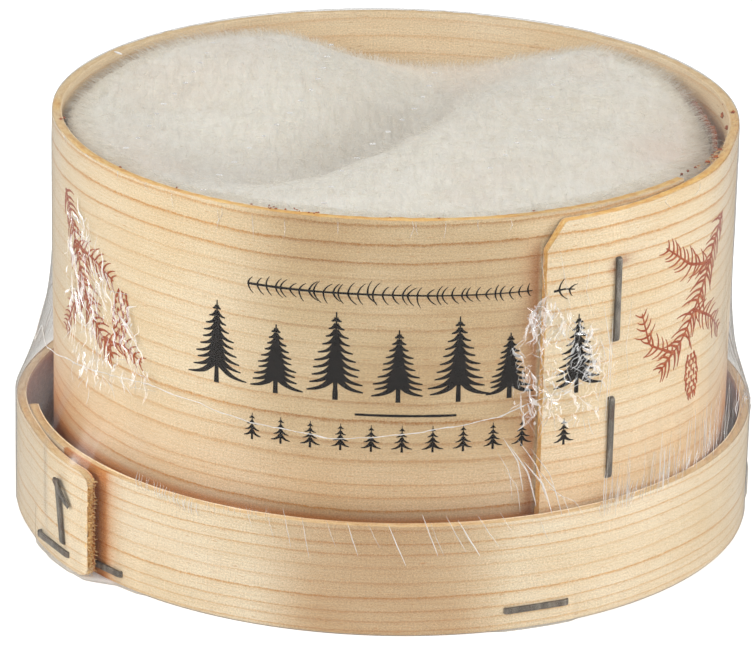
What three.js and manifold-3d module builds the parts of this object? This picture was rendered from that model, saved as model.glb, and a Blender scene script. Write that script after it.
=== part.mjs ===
// A soft, wavy-topped white-mould cheese wheel in its bent spruce box. The deep box
// stands in its own upturned shallow lid, and clear film is shrunk round the whole thing.
// Millimetres, +Z up. The origin is the middle of the flat underside, and angles are
// measured from the front (-Y) towards +X.
import * as THREE from 'three';
import { mergeVertices } from 'three/addons/utils/BufferGeometryUtils.js';
import Module from 'manifold-3d';

const wasm = await Module();
wasm.setup();

// ---- driving dimensions ----
const WOOD = 1.6;                 // thickness of the bent strips
const GAP = 0.3;                  // clearance between pieces that touch
const STEP = 5;                   // angular step of the bent strips, degrees

const LID_R = 62.3;               // lid wall, outer radius where it is one layer thick
const LID_Z = [0.45, 19.3];
const LID_INNER_END = -79;        // hidden end of the lid's strip
const LID_FREE_END = -48.4;       // free end of the lid's strip
const LID_STEP_OUT = 0.8;         // how far the outer layer stands off the inner one
const LID_DISC_R = 60.35;
const LID_DISC_Z = [0.75, 4.55];

const BOX_X = 0.25;               // the box stands a little to one side in the lid
const BOX_R = 58.0;
const BOX_Z = [4.9, 70.0];
const BOX_INNER_END = 54;
const BOX_FREE_END = 24;
const BOX_STEP_OUT = 0.35;
const BOX_CORNER = [2.6, 5.6];    // clipped corner of the free end: degrees back, mm down
const BOX_DISC_R = 56.05;
const BOX_DISC_Z = [5.3, 9.1];

const STRAP_R = 55.15;            // bark strap, outer radius
const STRAP_T = 1.1;
const STRAP_Z = [9.5, 65.0];
const STRAP_ENDS = [150, 128];    // it overlaps inwards between these angles

const CHEESE_R = 53.65;
const CHEESE_Z0 = 9.4;

const FILM_T = 0.15;
const FILM_TOP = 70.45;
const FILM_FLARE_FROM = 45;       // the film leaves the box wall here and meets the lid's rim

const WIRE_W = 1.1;               // flat staple wire
const WIRE_T = 0.55;
const CROWN = 11.7;               // crown of the flat staples
const LEG = 6.6;
const HOLE = 0.2;                 // clearance round a leg in wood

const rad = (d) => (d * Math.PI) / 180;
const clamp = (v, a, b) => Math.min(b, Math.max(a, v));
const smooth = (a, b, v) => {
  const t = clamp((v - a) / (b - a), 0, 1);
  return t * t * (3 - 2 * t);
};
const wrap = (d) => ((((d + 180) % 360) + 360) % 360) - 180;
const at = (r, deg, z, cx = 0) => [cx + r * Math.sin(rad(deg)), -r * Math.cos(rad(deg)), z];

// ---- materials ----
const mat = (color, roughness, metalness = 0, extra = {}) =>
  new THREE.MeshStandardMaterial({ color, roughness, metalness, ...extra });
const spruce = () => mat(0xe9d3ad, 0.7);
const discWood = () => mat(0xe0c79c, 0.75);
const steel = () => mat(0x8a8f94, 0.4, 0.9);

// ---- helpers ----
function geometryFrom(vertices, triangles) {
  const g = new THREE.BufferGeometry();
  g.setAttribute('position', new THREE.Float32BufferAttribute(vertices.flat(), 3));
  g.setIndex(triangles.flat());
  return g;
}

function toSolid(geometry) {
  let g = geometry.clone();
  g.deleteAttribute('normal');
  g.deleteAttribute('uv');
  g = mergeVertices(g, 1e-4);
  return new wasm.Manifold(new wasm.Mesh({
    numProp: 3,
    vertProperties: new Float32Array(g.attributes.position.array),
    triVerts: new Uint32Array(g.index.array),
  }));
}

function fromSolid(solid) {
  const m = solid.getMesh();
  const positions = [];
  for (let i = 0; i < m.vertProperties.length; i += m.numProp) {
    positions.push(m.vertProperties[i], m.vertProperties[i + 1], m.vertProperties[i + 2]);
  }
  const g = new THREE.BufferGeometry();
  g.setAttribute('position', new THREE.Float32BufferAttribute(positions, 3));
  g.setIndex(Array.from(m.triVerts));
  return g;
}

const cut = (geometry, cutters) => {
  let s = toSolid(geometry);
  for (const c of cutters) s = s.subtract(toSolid(c));
  return fromSolid(s);
};

const join = (geometries) => {
  let s = toSolid(geometries[0]);
  for (const g of geometries.slice(1)) s = s.add(toSolid(g));
  return fromSolid(s);
};

// A bent strip: columns of { a, r, lo, hi } from one end to the other, of thickness t.
function bentStrip(columns, t, cx) {
  const vertices = [];
  const triangles = [];
  for (const { a, r, lo, hi } of columns) {
    vertices.push(at(r, a, lo, cx), at(r, a, hi, cx), at(r + t, a, hi, cx), at(r + t, a, lo, cx));
  }
  const quad = (p, q, s, u) => triangles.push([p, q, s], [p, s, u]);
  for (let i = 0; i + 1 < columns.length; i++) {
    const p = 4 * i;
    const q = p + 4;
    for (let k = 0; k < 4; k++) {
      const n = (k + 1) % 4;
      quad(p + k, p + n, q + n, q + k);
    }
  }
  const e = 4 * (columns.length - 1);
  quad(0, 3, 2, 1);
  quad(e, e + 1, e + 2, e + 3);
  const g = geometryFrom(vertices, triangles);
  return signedVolume(g) < 0 ? flipped(g) : g;
}

function signedVolume(g) {
  const p = g.attributes.position;
  const i = g.index.array;
  let v = 0;
  const a = new THREE.Vector3();
  const b = new THREE.Vector3();
  const c = new THREE.Vector3();
  for (let k = 0; k < i.length; k += 3) {
    a.fromBufferAttribute(p, i[k]);
    b.fromBufferAttribute(p, i[k + 1]);
    c.fromBufferAttribute(p, i[k + 2]);
    v += a.dot(b.cross(c));
  }
  return v / 6;
}

function flipped(g) {
  const i = Array.from(g.index.array);
  for (let k = 0; k < i.length; k += 3) [i[k + 1], i[k + 2]] = [i[k + 2], i[k + 1]];
  g.setIndex(i);
  return g;
}

// Columns of a wall that overlaps itself, listed from its hidden inner end to its free end.
// dir is +1 where the strip runs with growing angle, -1 where it runs the other way.
function wallColumns({ start, dir, sweep, rInner, stepOut, rampFrom, shape }) {
  const stops = [];
  for (let s = 0; s < sweep - 1e-6; s += STEP) stops.push(s);
  for (const s of [360 - rampFrom, 360, ...shape.map((q) => sweep - q.back), sweep]) stops.push(s);
  const list = [...new Set(stops.map((s) => +s.toFixed(3)))].sort((p, q) => p - q)
    .filter((s, k, all) => k === 0 || s - all[k - 1] > 0.15);
  return list.map((s) => {
    const out = smooth(360 - rampFrom, 357, s) * (WOOD + stepOut);
    return { a: start + dir * s, r: rInner + out, s };
  });
}

// ---- lid wall ----
const lidSweep = 360 + (LID_FREE_END - LID_INNER_END);
const lidEndShape = [
  { back: 0.0, cut: 2.2 }, { back: 0.35, cut: 1.1 }, { back: 0.9, cut: 0.45 }, { back: 2.2, cut: 0 },
];
const lidColumns = wallColumns({
  start: LID_INNER_END, dir: 1, sweep: lidSweep, rInner: LID_R - WOOD,
  stepOut: LID_STEP_OUT, rampFrom: 32, shape: lidEndShape,
}).map((c) => {
  const back = lidSweep - c.s;
  let trim = 0;
  for (let k = 0; k + 1 < lidEndShape.length; k++) {
    const p = lidEndShape[k];
    const q = lidEndShape[k + 1];
    if (back >= p.back - 1e-3 && back <= q.back + 1e-3) {
      trim = p.cut + ((q.cut - p.cut) * (back - p.back)) / (q.back - p.back);
    }
  }
  // the free end lifts a little further over the staple crown beneath it
  const lift = 0.35 * smooth(12, 0, back);
  return { ...c, r: c.r + lift, lo: LID_Z[0] + trim, hi: LID_Z[1] - trim - 0.55 * smooth(30, 0, back) };
});

// ---- box wall ----
const boxSweep = 360 + (BOX_INNER_END - BOX_FREE_END);
const boxEndShape = [{ back: 0, cut: BOX_CORNER[1] }, { back: BOX_CORNER[0], cut: 0 }];
const boxColumns = wallColumns({
  start: BOX_INNER_END, dir: -1, sweep: boxSweep, rInner: BOX_R - WOOD,
  stepOut: BOX_STEP_OUT, rampFrom: 26, shape: boxEndShape,
}).map((c) => {
  const back = boxSweep - c.s;
  const trim = BOX_CORNER[1] * clamp(1 - back / BOX_CORNER[0], 0, 1);
  return { ...c, lo: BOX_Z[0], hi: BOX_Z[1] - trim };
});

// ---- staples ----
// Flat staple round a wall: its crown follows the wall at height z, its legs run straight in.
function flatStaple(a, z, r, cx, leg = LEG, crown = CROWN) {
  const half = crown / 2;
  const inner = r + GAP;
  const outer = inner + WIRE_T;
  const h = (rr, x) => Math.sqrt(rr * rr - x * x);
  const s = new THREE.Shape();
  const tip = inner - leg;
  const top = [];
  const bottom = [];
  for (let k = 0; k <= 4; k++) {
    const x = -half + (crown * k) / 4;
    top.push([x, h(outer, x)]);
  }
  const innerHalf = half - WIRE_T;
  for (let k = 4; k >= 0; k--) {
    const x = -innerHalf + (2 * innerHalf * k) / 4;
    bottom.push([x, h(inner, x)]);
  }
  const points = [
    ...top,
    [half, tip + 0.6], [half - WIRE_T, tip],
    ...bottom,
    [-half + WIRE_T, tip], [-half, tip + 0.6],
  ];
  s.moveTo(...points[0]);
  for (const p of points.slice(1)) s.lineTo(...p);
  const g = new THREE.ExtrudeGeometry(s, { depth: WIRE_W, bevelEnabled: false });
  g.translate(0, 0, z - WIRE_W / 2);
  // local +y is the outward direction at angle a
  g.rotateZ(Math.PI + rad(a));
  g.translate(cx, 0, 0);
  return fromSolid(toSolid(g));
}

// Clearance slots for the legs of a flat staple.
function flatStapleSlots(a, z, r, cx, leg = LEG, crown = CROWN) {
  return [-1, 1].map((side) => {
    const g = new THREE.BoxGeometry(WIRE_T + 2 * HOLE, leg + 0.5, WIRE_W + 2 * HOLE);
    g.translate(side * (crown / 2 - WIRE_T / 2), r + GAP - leg / 2, z);
    g.rotateZ(Math.PI + rad(a));
    g.translate(cx, 0, 0);
    return g;
  });
}

// Upright staple through both layers of an overlap. `rOut` is the outer layer's face and
// `rIn` the inner layer's inner face, where the legs are turned flat towards each other.
function uprightStaple(a, zTop, zLow, rOut, rIn, cx, { clinchTop = true, clinchLow = true, legLow = 0 } = {}) {
  const o1 = rOut + GAP;
  const o2 = o1 + WIRE_T;
  const i1 = rIn - GAP;
  const i2 = i1 - WIRE_T;
  const points = [[o2, zTop], [o2, zLow]];
  if (clinchLow) {
    points.push([i2, zLow], [i2, zLow + 4.6], [i1, zLow + 4.2], [i1, zLow + WIRE_T]);
  } else {
    points.push([o1 - legLow + 0.5, zLow], [o1 - legLow, zLow + WIRE_T]);
  }
  points.push([o1, zLow + WIRE_T], [o1, zTop - WIRE_T]);
  if (clinchTop) {
    points.push([i1, zTop - WIRE_T], [i1, zTop - 4.2], [i2, zTop - 4.6], [i2, zTop]);
  } else {
    points.push([o1, zTop]);
  }
  const s = new THREE.Shape();
  s.moveTo(...points[0]);
  for (const p of points.slice(1)) s.lineTo(...p);
  const g = new THREE.ExtrudeGeometry(s, { depth: WIRE_W, bevelEnabled: false });
  // shape x is the outward direction, shape y is up, the extrusion is tangential
  g.translate(0, 0, -WIRE_W / 2);
  g.rotateX(Math.PI / 2);
  g.rotateZ(rad(a) - Math.PI / 2);
  g.translate(cx, 0, 0);
  return g;
}

function uprightSlots(a, zs, rOut, rIn, cx) {
  return zs.map((z) => {
    const from = rIn - 1.4;
    const to = rOut + 1.2;
    const g = new THREE.BoxGeometry(to - from, WIRE_W + 2 * HOLE, WIRE_T + 2 * HOLE);
    g.translate((from + to) / 2, 0, z);
    g.rotateZ(rad(a) - Math.PI / 2);
    g.translate(cx, 0, 0);
    return g;
  });
}

// lid staples: [angle, height, wall face radius, crown]
const lidOuterFace = LID_R + LID_STEP_OUT + WOOD + 0.2;
const LID_STAPLES = [
  [-60.1, 2.6, lidOuterFace, 11.4],
  [-45.9, 2.1, LID_R, 11.7],
  [23.5, 3.6, LID_R, 11.7],
  [96, 3.1, LID_R, 11.7],
  [168, 3.0, LID_R, 11.7],
  [-124, 3.0, LID_R, 11.7],
];
const BOX_STAPLES = [[-12, 7.2], [-84, 7.2], [-150, 7.2], [150, 7.2], [98, 7.2]]
  .map(([a, z]) => [a, z, BOX_R, 11.7]);

const LID_SEAM = { a: -57.3, top: 15.3, low: 3.9 };
const BOX_SEAM = [{ a: 37.0, top: 61.1, low: 46.5 }, { a: 36.6, top: 37.1, low: 22.8 }];

const boxOuterFace = BOX_R + BOX_STEP_OUT + WOOD;

// ---- pieces ----
const object = new THREE.Group();
function add(name, geometry, material) {
  const mesh = new THREE.Mesh(geometry, material);
  mesh.name = name;
  object.add(mesh);
  return mesh;
}

// lid wall, with clearance for every staple leg that goes through it
const lidSlots = LID_STAPLES.flatMap(([a, z, r, crown]) => flatStapleSlots(a, z, r, 0, r > LID_R + 1 ? LEG + 2.4 : LEG, crown));
const lidSeamSlots = uprightSlots(LID_SEAM.a, [LID_SEAM.low + WIRE_T / 2], lidOuterFace, LID_R - WOOD - 3.5, 0);
add('lid_side_band', cut(bentStrip(lidColumns, WOOD, 0), [...lidSlots, ...lidSeamSlots]), spruce());

// lid disc, turned upwards so that the lid is a tray
function disc(r, [z0, z1], cx, segments = 72) {
  const g = new THREE.CylinderGeometry(r, r, z1 - z0, segments);
  g.rotateX(Math.PI / 2);
  g.translate(cx, 0, (z0 + z1) / 2);
  return g;
}
add('lid_disc', cut(disc(LID_DISC_R, LID_DISC_Z, 0), [...lidSlots, ...lidSeamSlots]), discWood());

LID_STAPLES.forEach(([a, z, r, crown], k) => {
  add(`lid_staple_${k + 1}`, flatStaple(a, z, r, 0, r > LID_R + 1 ? LEG + 2.2 : LEG, crown), steel());
});

// the lid's seam staple: its upper leg buckled and lies folded down outside
{
  const body = uprightStaple(LID_SEAM.a, LID_SEAM.top, LID_SEAM.low, lidOuterFace, LID_R - WOOD, 0,
    { clinchTop: false, clinchLow: false, legLow: 7.4 });
  const bent = new THREE.BoxGeometry(WIRE_T, 0.9, 4.6);
  bent.translate(0, 0, -2.3);
  bent.rotateX(rad(20));
  bent.translate(lidOuterFace + GAP + WIRE_T, 0.1, LID_SEAM.top - 0.05);
  bent.rotateZ(rad(LID_SEAM.a) - Math.PI / 2);
  add('lid_seam_staple', join([body, bent]), steel());
}

// box wall
const boxSlots = BOX_STAPLES.flatMap(([a, z, r, crown]) => flatStapleSlots(a, z, r, BOX_X, LEG, crown));
const boxSeamSlots = BOX_SEAM.flatMap(({ a, top, low }) =>
  uprightSlots(a, [top - WIRE_T / 2, low + WIRE_T / 2], boxOuterFace, BOX_R - WOOD, BOX_X));
add('box_side_band', cut(bentStrip(boxColumns, WOOD, BOX_X), [...boxSlots, ...boxSeamSlots]), spruce());
add('box_base_disc', cut(disc(BOX_DISC_R, BOX_DISC_Z, BOX_X), boxSlots), discWood());

BOX_STAPLES.forEach(([a, z, r, crown], k) => {
  add(`box_base_staple_${k + 1}`, flatStaple(a, z, r, BOX_X, LEG, crown), steel());
});
['upper', 'lower'].forEach((which, k) => {
  const { a, top, low } = BOX_SEAM[k];
  add(`box_seam_staple_${which}`, uprightStaple(a, top, low, boxOuterFace, BOX_R - WOOD, BOX_X), steel());
});

// bark strap, overlapping inwards, with a slightly uneven top edge
const strapSweep = 360 + (STRAP_ENDS[0] - STRAP_ENDS[1]);
const strapTop = (a) => STRAP_Z[1] + 0.7 * Math.sin(rad(3 * a + 20)) + 0.5 * Math.sin(rad(7 * a))
  - 7.2 * (1 - smooth(9, 26, Math.abs(wrap(a - 174))));   // torn low at the back, where the rind sinks
{
  const columns = [];
  for (let s = 0; s <= strapSweep + 1e-6; s += 6) {
    const a = STRAP_ENDS[0] - s;
    // outer layer first, then it slips inside itself
    const inwards = smooth(338, 358, s) * (STRAP_T + GAP);
    columns.push({ a, r: STRAP_R - STRAP_T - inwards, lo: STRAP_Z[0], hi: strapTop(a) });
  }
  const last = strapSweep;
  if (last % 6) columns.push({ a: STRAP_ENDS[0] - last, r: STRAP_R - 2 * STRAP_T - GAP, lo: STRAP_Z[0], hi: strapTop(STRAP_ENDS[0] - last) });
  add('bark_strap', bentStrip(columns, STRAP_T, BOX_X), mat(0x7a4527, 0.9));
}

// ---- cheese ----
// Height of the rind: lobes and a crooked valley that runs out at the back, given by scattered
// heights (x, y, z) and by the height round the edge (angle, z), joined by a thin plate spline.
const HUMPS = [
  [-39, 11, 65.9], [-33, -5, 65.2], [-30, -15, 65.6], [-48, -5, 68.3], [-40, -25, 68.7], [-50, 15, 68.2], [-27, -45, 68.9],
  [-32, 27, 69.0], [-17, 34, 68.7], [-46, 28, 68.9], [-24, 12, 67.0], [-14, 14, 66.1], [-9, 24, 66.2], [-18, 0, 65.0], [-6, 36, 65.4],
  [-20, -13, 63.6], [-24, -25, 64.6], [-14, -17, 62.4], [-5.6, -8.9, 61.3], [-0.5, 2, 60.9], [4.5, 13.5, 60.8], [8, 26, 60.6],
  [8, 40, 60.4], [-28, -34, 67.2], [-16, -26, 65.4], [-6, -17.5, 66.2], [1.5, -9, 67.0], [7, 0, 67.3], [12, 12, 67.2], [16, 25, 65.6], [18, 38, 63.4],
  [-12, -36, 68.4], [3, -26, 68.6], [14, -12, 69.0], [22, -2, 69.1], [22, 12, 69.0], [18, -30, 68.9], [30, -30, 69.1], [36, -14, 69.0],
  [31, 2, 67.9], [40, -1, 67.7], [36, 12, 69.0], [36, 25, 68.0], [28, 26, 68.3], [44, 20, 68.6], [30, 36, 68.3], [47, 4, 67.6], [48, -10, 67.6],
  [5, -45, 68.9], [25, -45, 68.9], [40, -32, 68.6],
];
const EDGE_HEIGHTS = [
  [-180, 60.9], [-175, 61.7], [-171, 62.4], [-165, 64.5], [-159, 66.8], [-149, 68.2], [-138, 69.2], [-118, 69.2], [-90, 69.2], [-60, 69.2],
  [-30, 69.0], [0, 68.9], [30, 69.0], [50, 68.6], [65, 67.4], [80, 66.4], [95, 66.2], [108, 67.2], [116, 68.5], [127, 68.6], [135, 68.8],
  [142, 67.7], [149, 65.9], [157, 63.8], [164, 61.9], [172, 60.8],
];
const cheeseTop = (() => {
  const points = [...HUMPS, ...EDGE_HEIGHTS.map(([a, z]) => [55.5 * Math.sin(rad(a)), -55.5 * Math.cos(rad(a)), z])];
  const n = points.length;
  const phi = (d2) => (d2 > 1e-9 ? 0.5 * d2 * Math.log(d2) : 0);
  // rows of the spline's linear system, with the heights in the last column
  const rows = [];
  for (let i = 0; i < n; i++) {
    const [x, y, z] = points[i];
    rows.push([...points.map(([u, v], j) => phi((x - u) ** 2 + (y - v) ** 2) + (i === j ? 6 : 0)), 1, x, y, z]);
  }
  rows.push([...points.map(() => 1), 0, 0, 0, 0]);
  rows.push([...points.map((q) => q[0]), 0, 0, 0, 0]);
  rows.push([...points.map((q) => q[1]), 0, 0, 0, 0]);
  const m = n + 3;
  for (let c = 0; c < m; c++) {
    let best = c;
    for (let r = c + 1; r < m; r++) if (Math.abs(rows[r][c]) > Math.abs(rows[best][c])) best = r;
    [rows[c], rows[best]] = [rows[best], rows[c]];
    for (let r = 0; r < m; r++) {
      if (r === c) continue;
      const k = rows[r][c] / rows[c][c];
      if (k) for (let j = c; j <= m; j++) rows[r][j] -= k * rows[c][j];
    }
  }
  const w = rows.map((row, i) => row[m] / row[i]);
  return (x, y) => {
    let z = w[n] + w[n + 1] * x + w[n + 2] * y;
    for (let i = 0; i < n; i++) z += w[i] * phi((x - points[i][0]) ** 2 + (y - points[i][1]) ** 2);
    return clamp(z, 55, 69.4);
  };
})();
{
  const SEG = 60;
  const cheeseR = (deg) => {
    // dented where the strap overlaps inside itself
    const w = wrap(deg - (STRAP_ENDS[0] + STRAP_ENDS[1]) / 2);
    const dent = smooth(31, 15, Math.abs(w)) * (STRAP_T + 0.45);
    return CHEESE_R - dent;
  };
  const vertices = [];
  const triangles = [];
  const rings = [];
  const ring = (f) => {
    const first = vertices.length;
    for (let k = 0; k < SEG; k++) vertices.push(f((360 * k) / SEG));
    rings.push(first);
  };
  const strapClear = 1.0;
  // from the bottom edge, up the side, over the shoulder, to the middle of the top
  ring((d) => at(cheeseR(d) - 1.2, d, CHEESE_Z0, BOX_X));
  ring((d) => at(cheeseR(d), d, CHEESE_Z0 + 1.6, BOX_X));
  ring((d) => at(cheeseR(d), d, 38, BOX_X));
  ring((d) => at(cheeseR(d) - 0.2, d, strapTop(d) - 3.5, BOX_X));
  for (const f of [0.985, 0.94, 0.88, 0.8, 0.71, 0.61, 0.5, 0.39, 0.27, 0.14]) {
    ring((d) => {
      const r = cheeseR(d) * f;
      const [x, y] = at(r, d, 0, 0);
      const drop = 1.7 * smooth(0.87, 1.0, f) + 0.2;
      return [x + BOX_X, y, Math.max(cheeseTop(x, y) - drop, strapTop(d) - 3.4 + strapClear * (f < 0.98 ? 1 : 0))];
    });
  }
  for (let k = 0; k + 1 < rings.length; k++) {
    for (let i = 0; i < SEG; i++) {
      const j = (i + 1) % SEG;
      triangles.push([rings[k] + i, rings[k] + j, rings[k + 1] + j], [rings[k] + i, rings[k + 1] + j, rings[k + 1] + i]);
    }
  }
  const low = vertices.push([BOX_X, 0, CHEESE_Z0]) - 1;
  const high = vertices.push([BOX_X, 0, cheeseTop(0, 0) - 0.2]) - 1;
  for (let i = 0; i < SEG; i++) {
    const j = (i + 1) % SEG;
    triangles.push([low, rings[0] + j, rings[0] + i], [high, rings.at(-1) + i, rings.at(-1) + j]);
  }
  const g = geometryFrom(vertices, triangles);
  add('cheese', signedVolume(g) < 0 ? flipped(g) : g, mat(0xe6e1d8, 0.95));
}

// ---- clear film ----
// It lies flat over the box's rim and under the lid, hugs the box's wall, and flares out to
// the lid's rim. Pinholes in the top let it shrink tight without trapping air.
{
  const SEG = 72;
  const near = (deg, centre, inner, outer) => smooth(outer, inner, Math.abs(wrap(deg - centre)));
  const boxWall = (deg) => {
    const lap = Math.max(near(deg, 47, 24, 33), 0);
    return BOX_R + 0.33 + BOX_X * Math.sin(rad(deg)) + (WOOD + BOX_STEP_OUT) * lap + 0.95 * near(deg, 36.8, 6, 14);
  };
  const lidWall = (deg) => {
    const lap = near(deg, -72, 25, 46);
    return LID_R + 0.33 + (WOOD + LID_STEP_OUT + 0.35) * lap + 0.75 * near(deg, -57.5, 7, 14);
  };
  const lidFoot = (deg) => {
    let bump = 0;
    for (const [a] of LID_STAPLES) bump = Math.max(bump, near(deg, a, 7.5, 13));
    return lidWall(deg) + 0.95 * bump;
  };
  // profile from the middle of the underside out and up to the middle of the top
  const flare = (w) => (d) => boxWall(d) + (lidWall(d) - boxWall(d)) * w;
  const profile = [
    [(d) => lidFoot(d) - 0.35, () => 0, (d) => lidFoot(d) - 0.35, () => FILM_T],
    [(d) => lidFoot(d) + FILM_T, () => 0.4, (d) => lidFoot(d), () => 0.45],
    [(d) => lidFoot(d) + FILM_T, () => 5.2],
    [(d) => lidWall(d) + FILM_T, () => 8.2],
    [(d) => lidWall(d) + FILM_T, () => 18.6],
    [(d) => lidWall(d) - 0.15 + FILM_T, () => 19.75],
    [(d) => flare(0.82)(d) + FILM_T, () => 22],
    [(d) => flare(0.46)(d) + FILM_T, () => 27.5],
    [(d) => flare(0.2)(d) + FILM_T, () => 33.5],
    [(d) => flare(0.06)(d) + FILM_T, () => 39],
    [(d) => boxWall(d) + FILM_T, () => FILM_FLARE_FROM],
    [(d) => boxWall(d) + FILM_T, () => 69.95],
    [(d) => boxWall(d) - 0.25 + FILM_T, () => FILM_TOP, (d) => boxWall(d) - 0.25, () => FILM_TOP - FILM_T],
  ].map(([r, z, ri, zi]) => ({ r, z, ri: ri || ((d) => r(d) - FILM_T), zi: zi || z }));

  const skin = (inner) => {
    const vertices = [];
    const triangles = [];
    for (const p of profile) {
      for (let k = 0; k < SEG; k++) {
        const d = (360 * k) / SEG;
        vertices.push(inner ? at(p.ri(d), d, p.zi(d)) : at(p.r(d), d, p.z(d)));
      }
    }
    const n = profile.length;
    for (let q = 0; q + 1 < n; q++) {
      for (let i = 0; i < SEG; i++) {
        const j = (i + 1) % SEG;
        triangles.push([q * SEG + i, q * SEG + j, (q + 1) * SEG + j], [q * SEG + i, (q + 1) * SEG + j, (q + 1) * SEG + i]);
      }
    }
    const low = vertices.push([0, 0, inner ? FILM_T : 0]) - 1;
    const high = vertices.push([0, 0, inner ? FILM_TOP - FILM_T : FILM_TOP]) - 1;
    for (let i = 0; i < SEG; i++) {
      const j = (i + 1) % SEG;
      triangles.push([low, j, i], [high, (n - 1) * SEG + i, (n - 1) * SEG + j]);
    }
    const g = geometryFrom(vertices, triangles);
    return signedVolume(g) < 0 ? flipped(g) : g;
  };

  // rows of pinholes across the top: x as a curve of y, from y0 to y1
  const PINHOLE_R = 0.3;
  const ROWS = [
    { c: [-38.2, 0.207, -0.0007], y0: -26, y1: 35, n: 11 },
    { c: [-16.6, 0.231, -0.0019], y0: -45, y1: 45, n: 14 },
    { c: [2.6, 0.274, -0.0003], y0: -48, y1: 46, n: 14 },
    { c: [25.5, 0.191, -0.0041], y0: -38, y1: 44, n: 12 },
    { c: [42.5, 0.1, -0.004], y0: -24, y1: 28, n: 8 },
  ];
  const pins = [];
  for (const { c, y0, y1, n } of ROWS) {
    for (let k = 0; k < n; k++) {
      const y = y0 + ((y1 - y0) * k) / (n - 1);
      const x = c[0] + c[1] * y + c[2] * y * y;
      if (Math.hypot(x, y) > 53) continue;
      const g = new THREE.CylinderGeometry(PINHOLE_R, PINHOLE_R, 1, 6);
      g.rotateX(Math.PI / 2);
      g.translate(x, y, FILM_TOP);
      pins.push(g);
    }
  }
  const shell = toSolid(skin(false)).subtract(toSolid(skin(true)));
  let film = shell;
  for (const p of pins) film = film.subtract(toSolid(p));
  add('clear_film', fromSolid(film), mat(0xf4f6f7, 0.12, 0, { transparent: true, opacity: 0.25 }));
}

export default object;
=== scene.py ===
import math

import bpy
import numpy as np
from mathutils import Matrix, Vector


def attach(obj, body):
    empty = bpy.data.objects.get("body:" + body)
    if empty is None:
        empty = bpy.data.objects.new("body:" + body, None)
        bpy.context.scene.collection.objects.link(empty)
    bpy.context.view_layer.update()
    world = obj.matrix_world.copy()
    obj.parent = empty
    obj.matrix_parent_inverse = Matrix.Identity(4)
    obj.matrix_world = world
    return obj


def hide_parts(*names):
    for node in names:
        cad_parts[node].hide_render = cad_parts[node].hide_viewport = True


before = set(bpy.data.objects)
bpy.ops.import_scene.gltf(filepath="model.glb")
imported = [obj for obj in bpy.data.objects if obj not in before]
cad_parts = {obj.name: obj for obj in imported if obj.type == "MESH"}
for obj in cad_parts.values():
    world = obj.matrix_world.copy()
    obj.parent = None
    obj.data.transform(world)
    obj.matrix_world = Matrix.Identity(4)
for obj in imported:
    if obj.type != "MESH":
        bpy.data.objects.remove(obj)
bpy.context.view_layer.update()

MM = 0.001
RNG = np.random.default_rng(20)
scene = bpy.context.scene

# ------------------------------------------------------------------ dimensions (mm), as in the CAD
LID_R, BOX_R, WOOD, BOX_X = 62.3, 58.0, 1.6, 0.25
LID_Z, BOX_Z = (0.45, 19.3), (4.9, 70.0)
FILM_TOP = 70.14


# ------------------------------------------------------------------ numpy helpers
def smooth(a, b, v):
    t = np.clip((np.asarray(v, float) - a) / (b - a), 0, 1)
    return t * t * (3 - 2 * t)


def wrap(d):
    return (np.asarray(d, float) + 180) % 360 - 180


def _hash(ix, iy, iz, seed):
    h = (ix * np.uint64(374761393) + iy * np.uint64(668265263) + iz * np.uint64(2246822519) + np.uint64(seed * 1274126177)) & np.uint64(0xFFFFFFFF)
    h = ((h ^ (h >> np.uint64(13))) * np.uint64(1274126177)) & np.uint64(0xFFFFFFFF)
    h = h ^ (h >> np.uint64(16))
    return (h & np.uint64(0xFFFFFF)).astype(float) / float(0xFFFFFF) * 2 - 1


def vnoise(x, y, z=0.0, seed=1):
    """Smooth value noise in [-1, 1]."""
    x, y, z = np.broadcast_arrays(np.asarray(x, float), np.asarray(y, float), np.asarray(z, float))
    fx, fy, fz = np.floor(x), np.floor(y), np.floor(z)
    ux, uy, uz = x - fx, y - fy, z - fz
    ux, uy, uz = (t * t * t * (t * (t * 6 - 15) + 10) for t in (ux, uy, uz))
    ix, iy, iz = ((f + 100000).astype(np.int64).astype(np.uint64) for f in (fx, fy, fz))
    one = np.uint64(1)
    out = 0
    for dx in (0, 1):
        for dy in (0, 1):
            for dz in (0, 1):
                w = (ux if dx else 1 - ux) * (uy if dy else 1 - uy) * (uz if dz else 1 - uz)
                out = out + w * _hash(ix + one * np.uint64(dx), iy + one * np.uint64(dy), iz + one * np.uint64(dz), seed)
    return out


def fbm(x, y, z=0.0, seed=1, octaves=4, gain=0.5, lac=2.03):
    out, a, f = 0, 1.0, 1.0
    for k in range(octaves):
        out = out + a * vnoise(np.asarray(x) * f, np.asarray(y) * f, np.asarray(z) * f, seed + 17 * k)
        a *= gain
        f *= lac
    return out


def at(r, deg, z, cx=0.0):
    a = np.radians(deg)
    r, a, z = np.broadcast_arrays(np.asarray(r, float), a, np.asarray(z, float))
    return np.stack([cx + r * np.sin(a), -r * np.cos(a), z], -1)


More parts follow.
